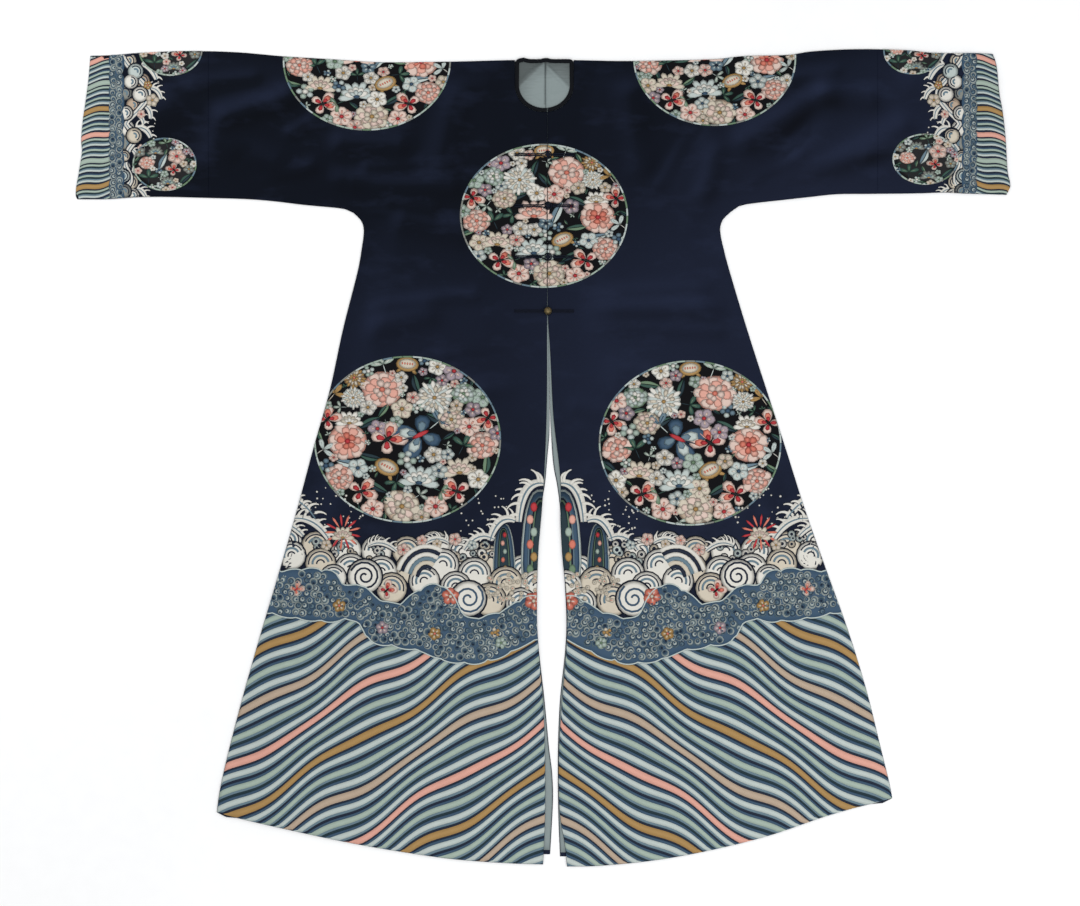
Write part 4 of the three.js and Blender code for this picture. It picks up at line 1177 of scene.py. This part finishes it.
# Rows of swells from the front row back: their level, and each one's place and radius.
FOAM_ROWS = (
    (0, ((62, -194, 27), (118, -178, 27), (166, -162, 26), (214, -152, 26), (262, -160, 25),
         (314, -160, 26), (366, -160, 26), (418, -152, 25), (466, -142, 23), (506, -134, 20))),
    (9, ((38, -222, 29), (92, -216, 29), (146, -200, 28), (200, -184, 27), (254, -190, 26),
         (306, -196, 27), (358, -192, 27), (410, -182, 26), (460, -168, 24))),
    (12, ((66, -250, 26), (120, -244, 28), (178, -222, 26), (232, -212, 26), (288, -224, 26),
          (340, -216, 26), (388, -206, 22))),
)
# Breaking crests: start, bend, end, reach and the side to which their fingers point.
FOAM_CRESTS = (
    ((24, -44), (66, -34), (70, -110), 25, 1.0), ((76, -108), (106, -94), (120, -142), 23, 1.0),
    ((112, -140), (140, -122), (164, -158), 19, 1.0),
    ((190, -146), (214, -128), (240, -154), 15, 1.0),
    ((484, -70), (446, -62), (420, -104), 23, -1.0),
    ((462, -104), (420, -98), (396, -140), 21, -1.0),
    ((330, -152), (306, -136), (280, -160), 15, -1.0),
    ((506, -116), (470, -100), (440, -134), 19, -1.0))
# Rocks: place, foot, top, half width and lean.
ROCKS = ((31, -240, -54, 36, 0), (94, -236, -112, 20, 2), (488, -190, -88, 17, -8),
         (516, -186, -60, 16, -16))
RAYED_FLOWER = (372, -128)
FACES = ("white", "ivory", "mist")  # threads of the rings of foam, in turn
FOAM_FLOWERS = (
    ("blossom", 179, -140, 12, "rose"), ("blossom", 210, -148, 9, "cream"),
    ("blossom", 236, -142, 10, "pink"), ("blossom", 150, -150, 9, "sky"),
    ("blossom", 268, -158, 12, "rose"), ("blossom", 400, -150, 10, "cream"))


def foam(art, side, rng):
    """The breaking sea above the scroll band: swells, coils, claws, rocks, spray and a lotus."""
    art.side = side
    put = partial(mirrored, side=side)
    for level, row in FOAM_ROWS:
        for k, (x, y, radius) in enumerate(row):
            swell(art, put, x, y, radius, level, 1.57 + 0.5 * math.sin(k * 1.9 + level),
                  ("white", "ivory", "white")[(k + level) % 3])
    coil(art, put, 334, -204, 29, 2.3, ("navy", "white"), CURLS, 0.4)
    coil(art, put, 156, -242, 30, 2.1, ("blue", "white"), CURLS, 2.2)
    a = np.linspace(0.35, 2.1, 12)
    for k, thread in enumerate(("white", "navy", "white", "slate", "ivory", "navy")):  # an arch
        path = stacked(228 + (52 - 7 * k) * np.cos(a), -214 + (62 - 7 * k) * np.sin(a))
        art.band(thread, put(path), 6.4, CURLS)
    for k in range(44):  # stippled foam near the slit
        x, y = 84 + rng.uniform(-46, 46), -222 + rng.uniform(-24, 22)
        art.fan("ivory", put(oval(7, 4.4, x=x, y=y)), STIPPLE)
        art.fan("grey" if k % 3 else "coral", put(oval(5, 1.2, x=x, y=y)), STIPPLE + 1)
    for k in range(34):  # rings of foam between the crests and the swells
        x = rng.uniform(100, 196) if k % 2 else rng.uniform(300, 470)
        y = -132 - 0.16 * (x if k % 2 else 470 - x) + rng.uniform(-22, 8)
        radius = rng.uniform(4.5, 8)
        for n, size, thread, level in ((9, radius + 1.6, "navy", 0), (9, radius, FACES[k % 3], 1),
                                       (7, radius * 0.45, "navy", 2)):
            art.fan(thread, put(oval(n, size, x=x, y=y)), RING_FOAM + level)
    for *curve, out in FOAM_CRESTS:
        crest(art, put, *curve, CREST, out)
    for place in ROCKS:
        rock(art, put, *place, ROCK)
    for k in range(13):  # crimson rays of a lotus
        ray = petal(k / 13 * TAU, 9, 32, 2.6, 6, *RAYED_FLOWER)
        art.fan("crimson" if k % 2 else "coral", put(ray), RAYS)
    x, y = RAYED_FLOWER
    strew(art, put, rng, (("lotus", x, y - 2, 19, "cream"),), 0.0, LOTUS)
    strew(art, put, rng, FOAM_FLOWERS, 0.5, SMALL_FLOWERS)
    for _ in range(60):
        near_slit = rng.random() < 0.55
        x = rng.uniform(80, 170) if near_slit else rng.uniform(330, 420)
        y = rng.uniform(-128, -56) if near_slit else rng.uniform(-120, -50)
        art.fan("white", put(oval(6, rng.uniform(1.2, 2.3), x=x, y=y)), SPRAY)


# Inner line of the foam on a cuff: height and distance from the middle of the garment.
CUFF_EDGE = np.array([
    (430, 717), (455, 720), (478, 708), (505, 718), (530, 711), (554, 695), (572, 716),
    (598, 694), (626, 677), (660, 702), (690, 722), (716, 714)])
# Lumps of foam on a cuff: distance from the middle of the garment, height, radius and thread.
# The grey and mist lumps are painted shade: white foam darkened as if it lay in shadow.
CUFF_FOAM = (
    (714, 702, 11, "white"), (712, 682, 13, "ivory"), (700, 664, 13, "mist"),
    (688, 648, 12, "sand"), (708, 646, 12, "white"), (718, 626, 12, "grey"),
    (692, 624, 13, "white"), (704, 606, 12, "sand"), (717, 592, 12, "white"),
    (716, 566, 14, "white"), (702, 553, 13, "ivory"), (716, 540, 12, "grey"),
    (719, 518, 9, "ivory"), (718, 500, 9, "white"), (722, 484, 12, "mist"),
    (709, 474, 13, "ivory"), (720, 458, 12, "grey"), (705, 451, 11, "white"))
# Crests that reach from it over the plain silk: start, bend, end and reach.
CUFF_CRESTS = (
    ((704, 702), (690, 704), (684, 684), 14), ((690, 676), (672, 674), (664, 650), 17),
    ((680, 636), (660, 638), (656, 616), 14), ((688, 606), (672, 602), (674, 582), 14),
    ((704, 590), (690, 594), (686, 574), 13), ((700, 566), (682, 572), (674, 550), 16),
    ((710, 530), (700, 530), (698, 514), 11), ((706, 492), (692, 496), (684, 476), 15),
    ((698, 462), (688, 462), (682, 446), 13))
CUFF_FLOWERS = (
    ("blossom", 671, 614, 12, "cream"), ("blossom", 679, 640, 8, "gold"),
    ("blossom", 690, 590, 8, "rose"), ("blossom", 690, 532, 7, "pink"))
CUFF_COLOURED = ("slate", "ochre", "sea", "pink", "ochre", "sea", "pink")
CUFF_COLOURED_WIDTH, CUFF_LOW, CUFF_HIGH = 8.0, 420.0, 712
CUFF_RUN = (
    ("navy", 3.2), ("mist", 3.4), ("slate", 2.2), ("teal", 3.0), ("sea", 3.4), ("blue", 2.2),
    ("navy", 3.2), ("mist", 3.4), ("slate", 2.2), ("teal", 3.0), ("sea", 3.4), ("navy", 2.4))


def cuff_art(art, side, rng):
    """A cuff: short wavy stripes from its edge, a strip of scrolls, then foam leaning inwards."""
    art.side = side

    def put(points):
        return np.asarray(points, float) * [SIGN[side], 1.0]

    y0, k = CUFF_LOW, 0
    out = np.arange(728.0, 812.0, 7.0)
    while y0 < CUFF_HIGH:
        coloured = (CUFF_COLOURED[k % len(CUFF_COLOURED)], CUFF_COLOURED_WIDTH)
        for thread, width in (coloured, *CUFF_RUN):
            wave = 2.6 * np.sin(TAU * out / 62 + y0 * 0.02) - 0.20 * (out - 770)
            stripe(art, put, thread, out, y0 + wave, y0 + width + wave)
            y0 += width
        k += 1
    y = np.arange(430.0, 716.0, 5.0)
    edge_in = 724 - 5 * np.sqrt(np.abs(np.sin(math.pi * y / 33)))
    edge_out = 741 + 5 * np.sqrt(np.abs(np.sin(math.pi * y / 27 + 0.7)))
    rows = np.linspace(0, 1, 5)[:, None]
    art.grid("blue", put(stacked(edge_in + (edge_out - edge_in) * rows, y)), CURLS)
    for r in range(25):
        for c in range(2):
            scroll(art, put, 728 + 11 * c + rng.uniform(-1, 1), 446 + (r + 0.5 * c) * 10.4, 5.9,
                   rng.uniform(0, TAU), STIPPLE,
                   SCROLL_THREADS[rng.integers(len(SCROLL_THREADS))])
    zigzag = np.arange(440.0, 720.0, 7.0)
    route = put(stacked(follow(CUFF_EDGE, zigzag), zigzag))
    for thread, width, level in (("navy", 12.0, 9), ("white", 8.0, 10), ("slate", 1.6, 11)):
        art.band(thread, route, width, level)
    for k, (x, y, radius, face) in enumerate(CUFF_FOAM):
        turn = math.pi - 0.5 + 0.5 * math.sin(k * 1.9)
        swell(art, put, x, y, radius, CREST if k % 2 else SMALL_FLOWERS, turn, face)
    for curve in CUFF_CRESTS:
        crest(art, put, *curve, ROCK, -1.0)
    strew(art, put, rng, CUFF_FLOWERS, 0.4, SMALL_FLOWERS + 1)
    for _ in range(16):
        x, y = rng.uniform(660, 676), rng.uniform(470, 690)
        art.fan("white", put(oval(6, rng.uniform(1.1, 2.0), x=x, y=y)), SPRAY)


def draw_ornament():
    """All woven shapes of the plan, in a fixed order of random draws."""
    art = Weaving()
    rng = np.random.default_rng(7)
    for k, place in enumerate(ROUNDELS):
        ring_outline(art, place, 2.8, 58, rng)
        fill_roundel(art, place, rng, LOWER_BOUQUET if k in (1, 2) else BOUQUET, FILLER_SIZES,
                     -1 if k == 1 else 1)
    for place in SMALL_ROUNDELS:
        cx, cy, rx, ry = place
        art.fan("black", oval(40, rx, ry, cx, cy), SMALL_GROUND)
        ring_outline(art, place, 2.6, 26, rng, SMALL_GROUND + 1)
        fill_roundel(art, place, rng, SMALL_BOUQUET, SMALL_FILLER_SIZES, level=SMALL_GROUND + 1)
    for side in SIDES:
        hem_stripes(art, side)
        foam(art, side, rng)
        scroll_band(art, side, rng)
        cuff_art(art, side, rng)
    return art


# ------------------------------------------------------------------------- shader maths

BLACK = (0.0, 0.0, 0.0, 1.0)


def linear(colour):
    """sRGB bytes as linear values."""
    c = np.asarray(colour, float) / 255
    low, high = c / 12.92, ((c + 0.055) / 1.055) ** 2.4
    return tuple(np.where(c <= 0.04045, low, high)) + (1.0,)


def math_node(operation, swapped=False):
    """Method of Value that adds one Math node."""
    def method(self, *others):
        terms = (*others, self) if swapped else (self, *others)
        node = self.shop.node("ShaderNodeMath", {"operation": operation}, dict(enumerate(terms)))
        return Value(self.shop, node.outputs[0])
    return method


class Value:
    """A number socket with arithmetic; each operation adds one Math node."""

    def __init__(self, shop, socket):
        self.shop, self.socket = shop, socket

    __add__ = __radd__ = math_node("ADD")
    __sub__ = math_node("SUBTRACT")
    __rsub__ = math_node("SUBTRACT", swapped=True)
    __mul__ = __rmul__ = math_node("MULTIPLY")
    __truediv__ = math_node("DIVIDE")
    __pow__ = math_node("POWER")
    sin = math_node("SINE")
    size = math_node("ABSOLUTE")
    above = math_node("GREATER_THAN")
    below = math_node("LESS_THAN")
    top = math_node("MAXIMUM")


class Shop:
    """Builds one material's nodes."""

    def __init__(self, name):
        self.material = bpy.data.materials.new(name)
        self.material.use_nodes = True
        self.tree = self.material.node_tree
        self.tree.nodes.clear()

    def node(self, kind, settings=None, values=None):
        """One node: its settings first, then the values or links of its sockets."""
        node = self.tree.nodes.new(kind)
        for key, value in (settings or {}).items():
            setattr(node, key, value)
        for key, value in (values or {}).items():
            socket = node.inputs[key]
            if isinstance(value, Value):
                value = value.socket
            if isinstance(value, bpy.types.NodeSocket):
                self.tree.links.new(value, socket)
            else:
                socket.default_value = value
        return node

    def at(self):
        """Object coordinates in metres."""
        return self.node("ShaderNodeTexCoord").outputs["Object"]

    def place(self):
        """Object coordinates in millimetres as three numbers."""
        split = self.node("ShaderNodeSeparateXYZ", values={0: self.at()})
        return [Value(self, split.outputs[k]) * 1000.0 for k in range(3)]

    def noise(self, scale, detail=2.0, rough=0.5, stretch=(1, 1, 1)):
        """Noise from about 0 to 1 on object coordinates, scale in lumps a metre."""
        put = self.node("ShaderNodeMapping", values={0: self.at(), "Scale": stretch})
        found = self.node("ShaderNodeTexNoise", values={
            "Vector": put.outputs[0], "Scale": scale, "Detail": detail, "Roughness": rough})
        return Value(self, found.outputs["Fac"])

    def blend(self, first, second, share):
        """Colour from first to second by share."""
        mix = self.node("ShaderNodeMix", {"data_type": "RGBA"}, {0: share, 6: first, 7: second})
        return mix.outputs[2]

    def shades(self, base, low, high, share):
        """Colour from base times low to base times high by share."""
        return self.blend(tint(base, low), tint(base, high), share)

    def clamped(self, value):
        """The number held between 0 and 1."""
        return Value(self, self.node("ShaderNodeClamp", values={0: value}).outputs[0])

    def finish(self, colour, rough, height, depth, strength, **constants):
        """Surface of this colour, roughness and bump, linked to the output."""
        bump = self.node("ShaderNodeBump", values={
            "Strength": strength, "Distance": depth, "Height": height})
        bsdf = self.node("ShaderNodeBsdfPrincipled", values={
            "Base Color": colour, "Roughness": rough, "Normal": bump.outputs[0], **constants})
        self.node("ShaderNodeOutputMaterial", values={0: bsdf.outputs[0]})
        return self.material

    def silk(self, colour, rough, height, depth, strength, gloss):
        """Surface of silk, its reflection at right angles set by the gloss."""
        return self.finish(colour, rough, height, depth, strength, **{"Specular IOR Level": gloss})


def tint(colour, factor):
    """The colour times a factor, no channel over 1."""
    return tuple(min(1.0, c * factor) for c in colour[:3]) + (1.0,)


def ribs(shop, across, pitch):
    """Fine parallel threads: half a sine plus a half, along one number in millimetres."""
    return (across * (TAU / pitch)).sin() * 0.5 + 0.5


def ground_silk():
    """Dark plain silk: blue-black, bluer over the body, black in the roundels; ribbed weave.

    Painted highlight and shade: folds that turn to the light are painted bluer and lighter, those
    that turn away darker."""
    shop = Shop("outer_silk_ground")
    x, y, _ = shop.place()
    broad, fine = shop.noise(5.0, 3.0), shop.noise(160.0, 3.0, 0.6, (1.0, 3.5, 1.0))
    dark, blue = chosen("dark_ground"), chosen("blue_ground")
    east = (x * 0.004 + 0.35 + (broad - 0.5) * 0.6).top(0.0)
    body = 1.0 - ((y - 250.0) * 0.006).top(0.0)
    plain = shop.blend(dark, blue, shop.clamped(east * 0.55 + body * 0.6))
    worn = shop.noise(9.0, 4.0, 0.6, (1.0, 2.2, 1.0))
    attribute = shop.node("ShaderNodeAttribute", {"attribute_name": "painted_fold_light"})
    painted_fold_light = Value(shop, attribute.outputs["Fac"])
    # Painted highlight on folds that face the light, painted shade on those that turn away.
    plain = shop.blend(plain, tint(blue, 2.4), painted_fold_light.top(0.0))
    plain = shop.blend(plain, BLACK, (painted_fold_light * -1.3).top(0.0))
    inside = None
    for cx, cy, rx, ry in ROUNDELS + SMALL_ROUNDELS:
        one = ((((x - cx) / rx) ** 2.0) + (((y - cy) / ry) ** 2.0)).below(1.0)
        inside = one if inside is None else inside.top(one)
    cloth = shop.blend(plain, linear(THREADS["black"]), inside)
    cloth = shop.blend(cloth, tint(blue, 1.9), ((worn - 0.52) * 1.6).top(0.0) * (1.0 - inside))
    varied = shop.blend(shop.blend(cloth, BLACK, 0.28), cloth, fine)
    weave = ribs(shop, y + (fine - 0.5) * 0.5, 0.9) * 0.7 + ribs(shop, x, 0.7) * 0.3
    return shop.silk(varied, 0.60 + (fine - 0.5) * 0.16, weave + fine * 0.6, 0.00016, 0.35, 0.04)


def thread_silk(name, colour):
    """Woven silk of one colour: weft ribs with small changes of shade from thread to thread."""
    shop = Shop(f"thread_{name}")
    _, y, _ = shop.place()
    streak, patch = shop.noise(420.0, 2.0, 0.6, (1.0, 5.0, 1.0)), shop.noise(60.0, 2.0)
    shade = shop.shades(linear(colour), 0.80, 1.12, streak * 0.6 + patch * 0.4)
    weave = ribs(shop, y + (streak - 0.5) * 0.4, 0.8)
    return shop.silk(shade, 0.55 + (streak - 0.5) * 0.2, weave + streak, 0.00012, 0.4, 0.18)


def lining_cloth():
    """Plain grey-green silk with slubs; in the neck, painted shade darkens it towards the rim,
    along its pleat and in its upper corners.
    """
    shop = Shop("lining_silk")
    x, y, _ = shop.place()
    base = chosen("lining")
    slub, patch = shop.noise(240.0, 3.0, 0.6, (0.25, 6.0, 1.0)), shop.noise(14.0, 2.0)
    shade = shop.shades(base, 0.82, 1.1, slub * 0.6 + patch * 0.4)
    # Painted shade in the neck: darker towards the rim, in the upper corners and along the pleat,
    # broken up by slubs.
    rim = (((((x - NECK_X - 12.0) / 54.0) ** 2.0) + (((y - 626.0) / 56.0) ** 2.0)) ** 0.5
           + (patch - 0.5) * 0.5 + (slub - 0.5) * 0.3)
    corners = shop.clamped((y + (x - 2.0).size() * 0.96 - 677.0) / 5.0 + (slub - 0.5) * 0.6)
    pleat = (1.0 - (x - 3.6 - (patch - 0.5) * 5.0).size() / 3.0).top(0.0) * y.above(607.0)
    painted_neck_shade = (((rim - 0.46) * 0.9).top(0.0) + corners * 0.42 + pleat * 0.55
              + (slub - 0.5) * 0.5)
    shade = shop.blend(tint(base, 1.12), shade, 0.5)
    shade = shop.blend(shade, tint(base, 0.34), shop.clamped(painted_neck_shade * y.above(560.0)))
    weave = ribs(shop, y, 0.6) * 0.6 + ribs(shop, x, 0.6) * 0.4
    return shop.silk(shade, 0.5 + (slub - 0.5) * 0.2, weave + slub, 0.0001, 0.35, 0.25)


def cord_silk(name, base, rough):
    """Twisted dark silk: slanting strands round the cord, painted lighter on their crowns and
    darker in the grooves as shade, and a little random dust.
    """
    shop = Shop(name)
    x, y, z = shop.place()
    lint = shop.noise(500.0, 3.0, 0.6)
    strand = ribs(shop, x + y + z * 1.5, 1.1)
    # Painted shade: the colour follows the strands' relief, darker in the grooves between them.
    shade = shop.shades(base, 0.6, 1.4, strand * 0.5 + lint * 0.5)
    return shop.silk(shade, rough + (lint - 0.5) * 0.2, strand + lint * 0.5, 0.0002, 0.5, 0.08)


def gilt_metal():
    """Worn gilding: gold on the high places, dull brown metal where it is rubbed through."""
    shop = Shop("gilt_brass")
    worn, fine = shop.noise(420.0, 4.0, 0.65), shop.noise(1800.0, 2.0, 0.6)
    share = shop.node("ShaderNodeMapRange", values={0: worn, 1: 0.42, 2: 0.62})
    shade = shop.blend(linear((136, 118, 80)), linear((62, 58, 46)), share.outputs[0])
    return shop.finish(shade, 0.36 + fine * 0.3, worn + fine * 0.4, 0.00012, 0.4, Metallic=0.85)


def floor_paper():
    """Pale seamless ground with a barely uneven surface."""
    shop = Shop("floor_paper")
    grain = shop.noise(30.0, 3.0)
    shade = shop.blend((0.93, 0.93, 0.93, 1.0), (0.97, 0.97, 0.97, 1.0), grain)
    return shop.finish(shade, 0.9, grain, 0.0001, 0.1)


# ------------------------------------------------------------------------- properties

def length_property(label, use, value, low, high):
    return bpy.props.FloatProperty(
        name=label, description=use, default=value, min=low, max=high, unit="LENGTH")


class SurcoatSizes(bpy.types.PropertyGroup):
    """Sizes that a user may change."""

    mesh_step: length_property("Mesh step", "Spacing of the cloth's grid", 0.008, 0.004, 0.03)
    back_step: length_property(
        "Hidden mesh step", "Spacing of the grid of backs and linings", 0.014, 0.005, 0.05)
    cord_sides: bpy.props.IntProperty(
        name="Cord sides", description="Faces round a cord", default=10, min=6, max=24)
    camera_height: length_property(
        "Camera height", "Height of the camera above the floor", 4.8, 1.0, 20.0)
    view_width: length_property(
        "View width", "Width of floor in the picture", 1.8576, 0.2, 5.0)


def colour_property(label, use, rgb):
    return bpy.props.FloatVectorProperty(
        name=label, description=use, default=tuple(c / 255 for c in rgb), subtype="COLOR_GAMMA",
        size=3, min=0.0, max=1.0)


class SurcoatColours(bpy.types.PropertyGroup):
    """Colours that a user may change, in display values."""

    dark_ground: colour_property("Dark ground", "Silk of the sleeves", (11, 16, 27))
    blue_ground: colour_property("Blue ground", "Silk of the body", (26, 32, 50))
    lining: colour_property("Lining", "Plain lining silk", (126, 137, 137))
    binding: colour_property("Binding", "Piping round the neck", (10, 12, 17))
    cord: colour_property("Cord", "Loops, tabs and knots", (19, 23, 35))


def sizes():
    return bpy.context.scene.surcoat_sizes


def chosen(name):
    """A colour of the panel as linear values."""
    return linear(np.array(getattr(bpy.context.scene.surcoat_colours, name)) * 255)


# ------------------------------------------------------------------------- operators


class SURCOAT_OT_cloth(bpy.types.Operator):
    """Build fronts, backs, sleeves and linings as thin shells of silk"""

    bl_idname = "surcoat.cloth"
    bl_label = "Cloth shells"

    def execute(self, context):
        ground, lining = ground_silk(), lining_cloth()
        step, back_step = sizes().mesh_step / MM, sizes().back_step / MM
        for side in SIDES:
            made = {
                "back": cloth_panel(side, "back", back_step, ground),
                "lining": lining_half(side, back_step, lining),
                "front": cloth_panel(side, "front", step, ground),
                "sleeve": cloth_sleeve(side, step, ground)}
        return {"FINISHED"}


class SURCOAT_OT_ornament(bpy.types.Operator):
    """Weave the roundels, waves and stripes, one object for each colour of thread"""

    bl_idname = "surcoat.ornament"
    bl_label = "Woven ornament"

    def execute(self, context):
        art = draw_ornament()
        for thread, colour in THREADS.items():
            parts = [part for layer in ("front", "back") for side in SIDES
                     for part in art.pieces(thread, side, layer)]
            if not parts:
                raise RuntimeError(f"no shape is woven with the thread {thread}")
            silk = thread_silk(thread, colour)
            make_object(f"weft_{thread}", *joined(parts), silk, "outer_silk", True)
        return {"FINISHED"}


def arc(cx, cy, rx, ry, start, end, steps):
    """Points along an oval from one angle to another, in degrees."""
    a = np.radians(np.linspace(start, end, steps + 1))
    return stacked(cx + rx * np.cos(a), cy + ry * np.sin(a))


class SURCOAT_OT_binding(bpy.types.Operator):
    """Pipe the neck with a twisted roll that is open at the centre front"""

    bl_idname = "surcoat.binding"
    bl_label = "Neck binding"

    def execute(self, context):
        reach = BINDING_WIDTH / 2 + 0.05
        half, depth, r = NECK_HALF - reach, NECK_DEPTH - reach, BINDING_CORNER
        left, right, top = NECK_X - half + r, NECK_X + half - r, NECK_BACK_Y + 0.6
        route = np.concatenate([
            arc(NECK_X, NECK_CORNER_Y, half, depth, 275.6, 180, 46),
            arc(left, top - r, r, r, 180, 90, 10),
            stacked(np.linspace(left, right, 24)[1:-1], top),
            arc(right, top - r, r, r, 90, 0, 10),
            arc(NECK_X, NECK_CORNER_Y, half, depth, 0, -83.2, 44)])
        x, y = route.T
        for at, rise in BINDING_PUCKERS:
            y += np.where(y > 672, rise * np.exp(-((x - at) / 6.0) ** 2), 0)
        route = route[np.r_[True, np.linalg.norm(np.diff(route, axis=0), axis=1) > 0.2]]
        path = stacked(*route.T, LINING_TOP + SEAM_GAP + BINDING_HEIGHT / 2)
        tube = turned_tube(path, BINDING_WIDTH / 2 * 0.94, 16, 2.4, 3, 0.06, BINDING_HEIGHT / 2)
        silk = cord_silk("binding_silk", chosen("binding"), 0.6)
        made = make_object("piping_neck", *tube, silk, "binding_silk")
        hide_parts("neckband")
        return {"FINISHED"}


def hairpin(side, start, turn_x, y, radius):
    """Route of a doubled cord on the front: two legs and a round turn at the end."""
    toward = math.copysign(1, turn_x - start)
    leg = LEG_SPACING / 2
    neck = turn_x - toward * (radius + 5)
    if radius > leg + 0.5:
        opening = 150 if toward > 0 else 30
        turn = arc(turn_x, y, radius, radius, opening, opening - toward * 300, 24)
        legs = np.linspace(start, neck, 14)
    else:
        turn = arc(turn_x, y, leg, leg, 90, 90 - toward * 180, 8)
        legs = np.linspace(start, turn_x, 14)[:-1]
    x, y = np.concatenate([stacked(legs, y + leg), turn, stacked(legs[::-1], y - leg)]).T
    return stacked(x, y, front_face(side, x, y) + CORD_RADIUS + SEAM_GAP)


def knot(width, height, cx, cy, cz, lobes, depth, rows=20, columns=32):
    """Ball turned about its upright axis, its radius raised by crossing strands."""
    lat = np.linspace(-math.pi / 2, math.pi / 2, rows + 1)[1:-1][:, None]
    lon = (np.arange(columns) / columns * TAU)[None, :]
    strand = np.maximum(np.cos(lobes * lon + 3 * lat), np.cos(lobes * lon - 3 * lat))
    size = 1 + depth * (strand - 1) * np.cos(lat)
    x = cx + width / 2 * size * np.cos(lat) * np.cos(lon)
    y = cy + width / 2 * size * np.cos(lat) * np.sin(lon)
    z = cz + height / 2 * size * np.sin(lat)
    return capped(stacked(x, y, z), (cx, cy, cz - height / 2), (cx, cy, cz + height / 2))


class SURCOAT_OT_closures(bpy.types.Operator):
    """Build the cord loops, the button cords, the cloth knots and the gilt ball"""

    bl_idname = "surcoat.closures"
    bl_label = "Closures"

    def execute(self, context):
        silk = cord_silk("cord_silk", chosen("cord"), 0.65)
        gilt = gilt_metal()
        sides = sizes().cord_sides
        for k, (y, droop, width, height, eye) in enumerate(CLOSURES, 1):
            ball_y = y - droop
            tab_end = CLOSURE_X + eye + 2 * CORD_RADIUS + SEAM_GAP + LEG_SPACING / 2
            routes = {"loop": ("right", LOOP_START, CLOSURE_X, eye),
                      "tab": ("left", TAB_START, tab_end, LEG_SPACING / 2)}
            for name, (side, start, end, radius) in routes.items():
                path = hairpin(side, start, end, ball_y, radius)
                tube = turned_tube(path, CORD_RADIUS * 0.97, sides, 2.6, 2, 0.10)
                made = make_object(f"cord_{name}_{k}", *tube, silk, "cord_silk")
                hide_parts(f"{name}_{k}")
            kind, lobes, depth, material, slot = ("knot", 4, 0.10, silk, "cord_silk")
            if k == len(CLOSURES):
                kind, lobes, depth, material, slot = ("ball", 2, 0.015, gilt, "gilt_brass")
            shape = knot(width * 0.99, height * 0.99, CLOSURE_X, ball_y,
                         FRONT_FACE + SEAM_GAP + height / 2, lobes, depth)
            made = make_object(f"{kind}_{k}", *shape, material, slot)
            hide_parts(f"button_{k}")
        return {"FINISHED"}


FLOOR_HALF = 6.0
CAMERA_PLACE = (-0.0052, 0.0081)
SENSOR = 36.0
# Lamps: place and size in metres, and power in watts.
LAMPS = {"key": ((-2.4, 1.9, 3.0), 1.3, 210.0), "fill": ((1.6, -1.4, 3.4), 3.2, 60.0),
         "top": ((0.0, 0.2, 4.2), 3.6, 70.0)}
SKY, SKY_STRENGTH = (0.97, 0.985, 1.0, 1.0), 0.62


class SURCOAT_OT_stage(bpy.types.Operator):
    """Lay the pale floor and set the camera and the soft lights"""

    bl_idname = "surcoat.stage"
    bl_label = "Stage"

    def execute(self, context):
        scene = bpy.context.scene

        def add(name, data):
            made = bpy.data.objects.new(name, data)
            scene.collection.objects.link(made)
            return made

        mesh = bpy.data.meshes.new("floor")
        low, high = -FLOOR_HALF, FLOOR_HALF
        mesh.from_pydata([(low, low, 0), (high, low, 0), (high, high, 0), (low, high, 0)], [],
                         [(0, 1, 2, 3)])
        mesh.materials.append(floor_paper())
        add("floor", mesh)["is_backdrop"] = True

        data = bpy.data.cameras.new("camera")
        data.sensor_width = SENSOR
        data.lens = SENSOR * sizes().camera_height / sizes().view_width
        camera = add("camera", data)
        camera.location = (*CAMERA_PLACE, sizes().camera_height)
        scene.camera = camera

        for name, (place, size, power) in LAMPS.items():
            light = bpy.data.lights.new(name, "AREA")
            light.size, light.energy = size, power
            lamp = add(name, light)
            lamp.location = place
            aim = -np.asarray(place) / np.linalg.norm(place)
            lamp.rotation_euler = (math.acos(-aim[2]), 0.0, math.atan2(aim[0], -aim[1]))
        world = bpy.data.worlds.new("studio")
        world.use_nodes = True
        background = world.node_tree.nodes["Background"]
        background.inputs[0].default_value = SKY
        background.inputs[1].default_value = SKY_STRENGTH
        scene.world = world
        scene.view_settings.view_transform = "Standard"
        return {"FINISHED"}


class SURCOAT_PT_panel(bpy.types.Panel):
    """Lists the pieces of the surcoat and what may be changed"""

    bl_idname = "SURCOAT_PT_panel"
    bl_label = "Surcoat"
    bl_space_type = "VIEW_3D"
    bl_region_type = "UI"
    bl_category = "Surcoat"

    def draw(self, context):
        for group in (context.scene.surcoat_sizes, context.scene.surcoat_colours):
            for name in group.__annotations__:
                self.layout.prop(group, name)
        for operator in OPERATORS:
            self.layout.operator(operator.bl_idname)


OPERATORS = (SURCOAT_OT_stage, SURCOAT_OT_cloth, SURCOAT_OT_ornament, SURCOAT_OT_binding,
             SURCOAT_OT_closures)
CLASSES = (SurcoatSizes, SurcoatColours, *OPERATORS, SURCOAT_PT_panel)


def register():
    for one in CLASSES:
        bpy.utils.register_class(one)
    bpy.types.Scene.surcoat_sizes = bpy.props.PointerProperty(type=SurcoatSizes)
    bpy.types.Scene.surcoat_colours = bpy.props.PointerProperty(type=SurcoatColours)


def unregister():
    del bpy.types.Scene.surcoat_colours
    del bpy.types.Scene.surcoat_sizes
    for one in reversed(CLASSES):
        bpy.utils.unregister_class(one)


def plain(box):
    return [[float(v) for v in corner] for corner in box]


def main():
    register()
    bpy.ops.surcoat.stage()
    bpy.ops.surcoat.cloth()
    bpy.ops.surcoat.ornament()
    bpy.ops.surcoat.binding()
    bpy.ops.surcoat.closures()
    {"cad": plain(CAD_BOX), "visual": plain(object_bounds())}


if __name__ == "__main__":
    main()
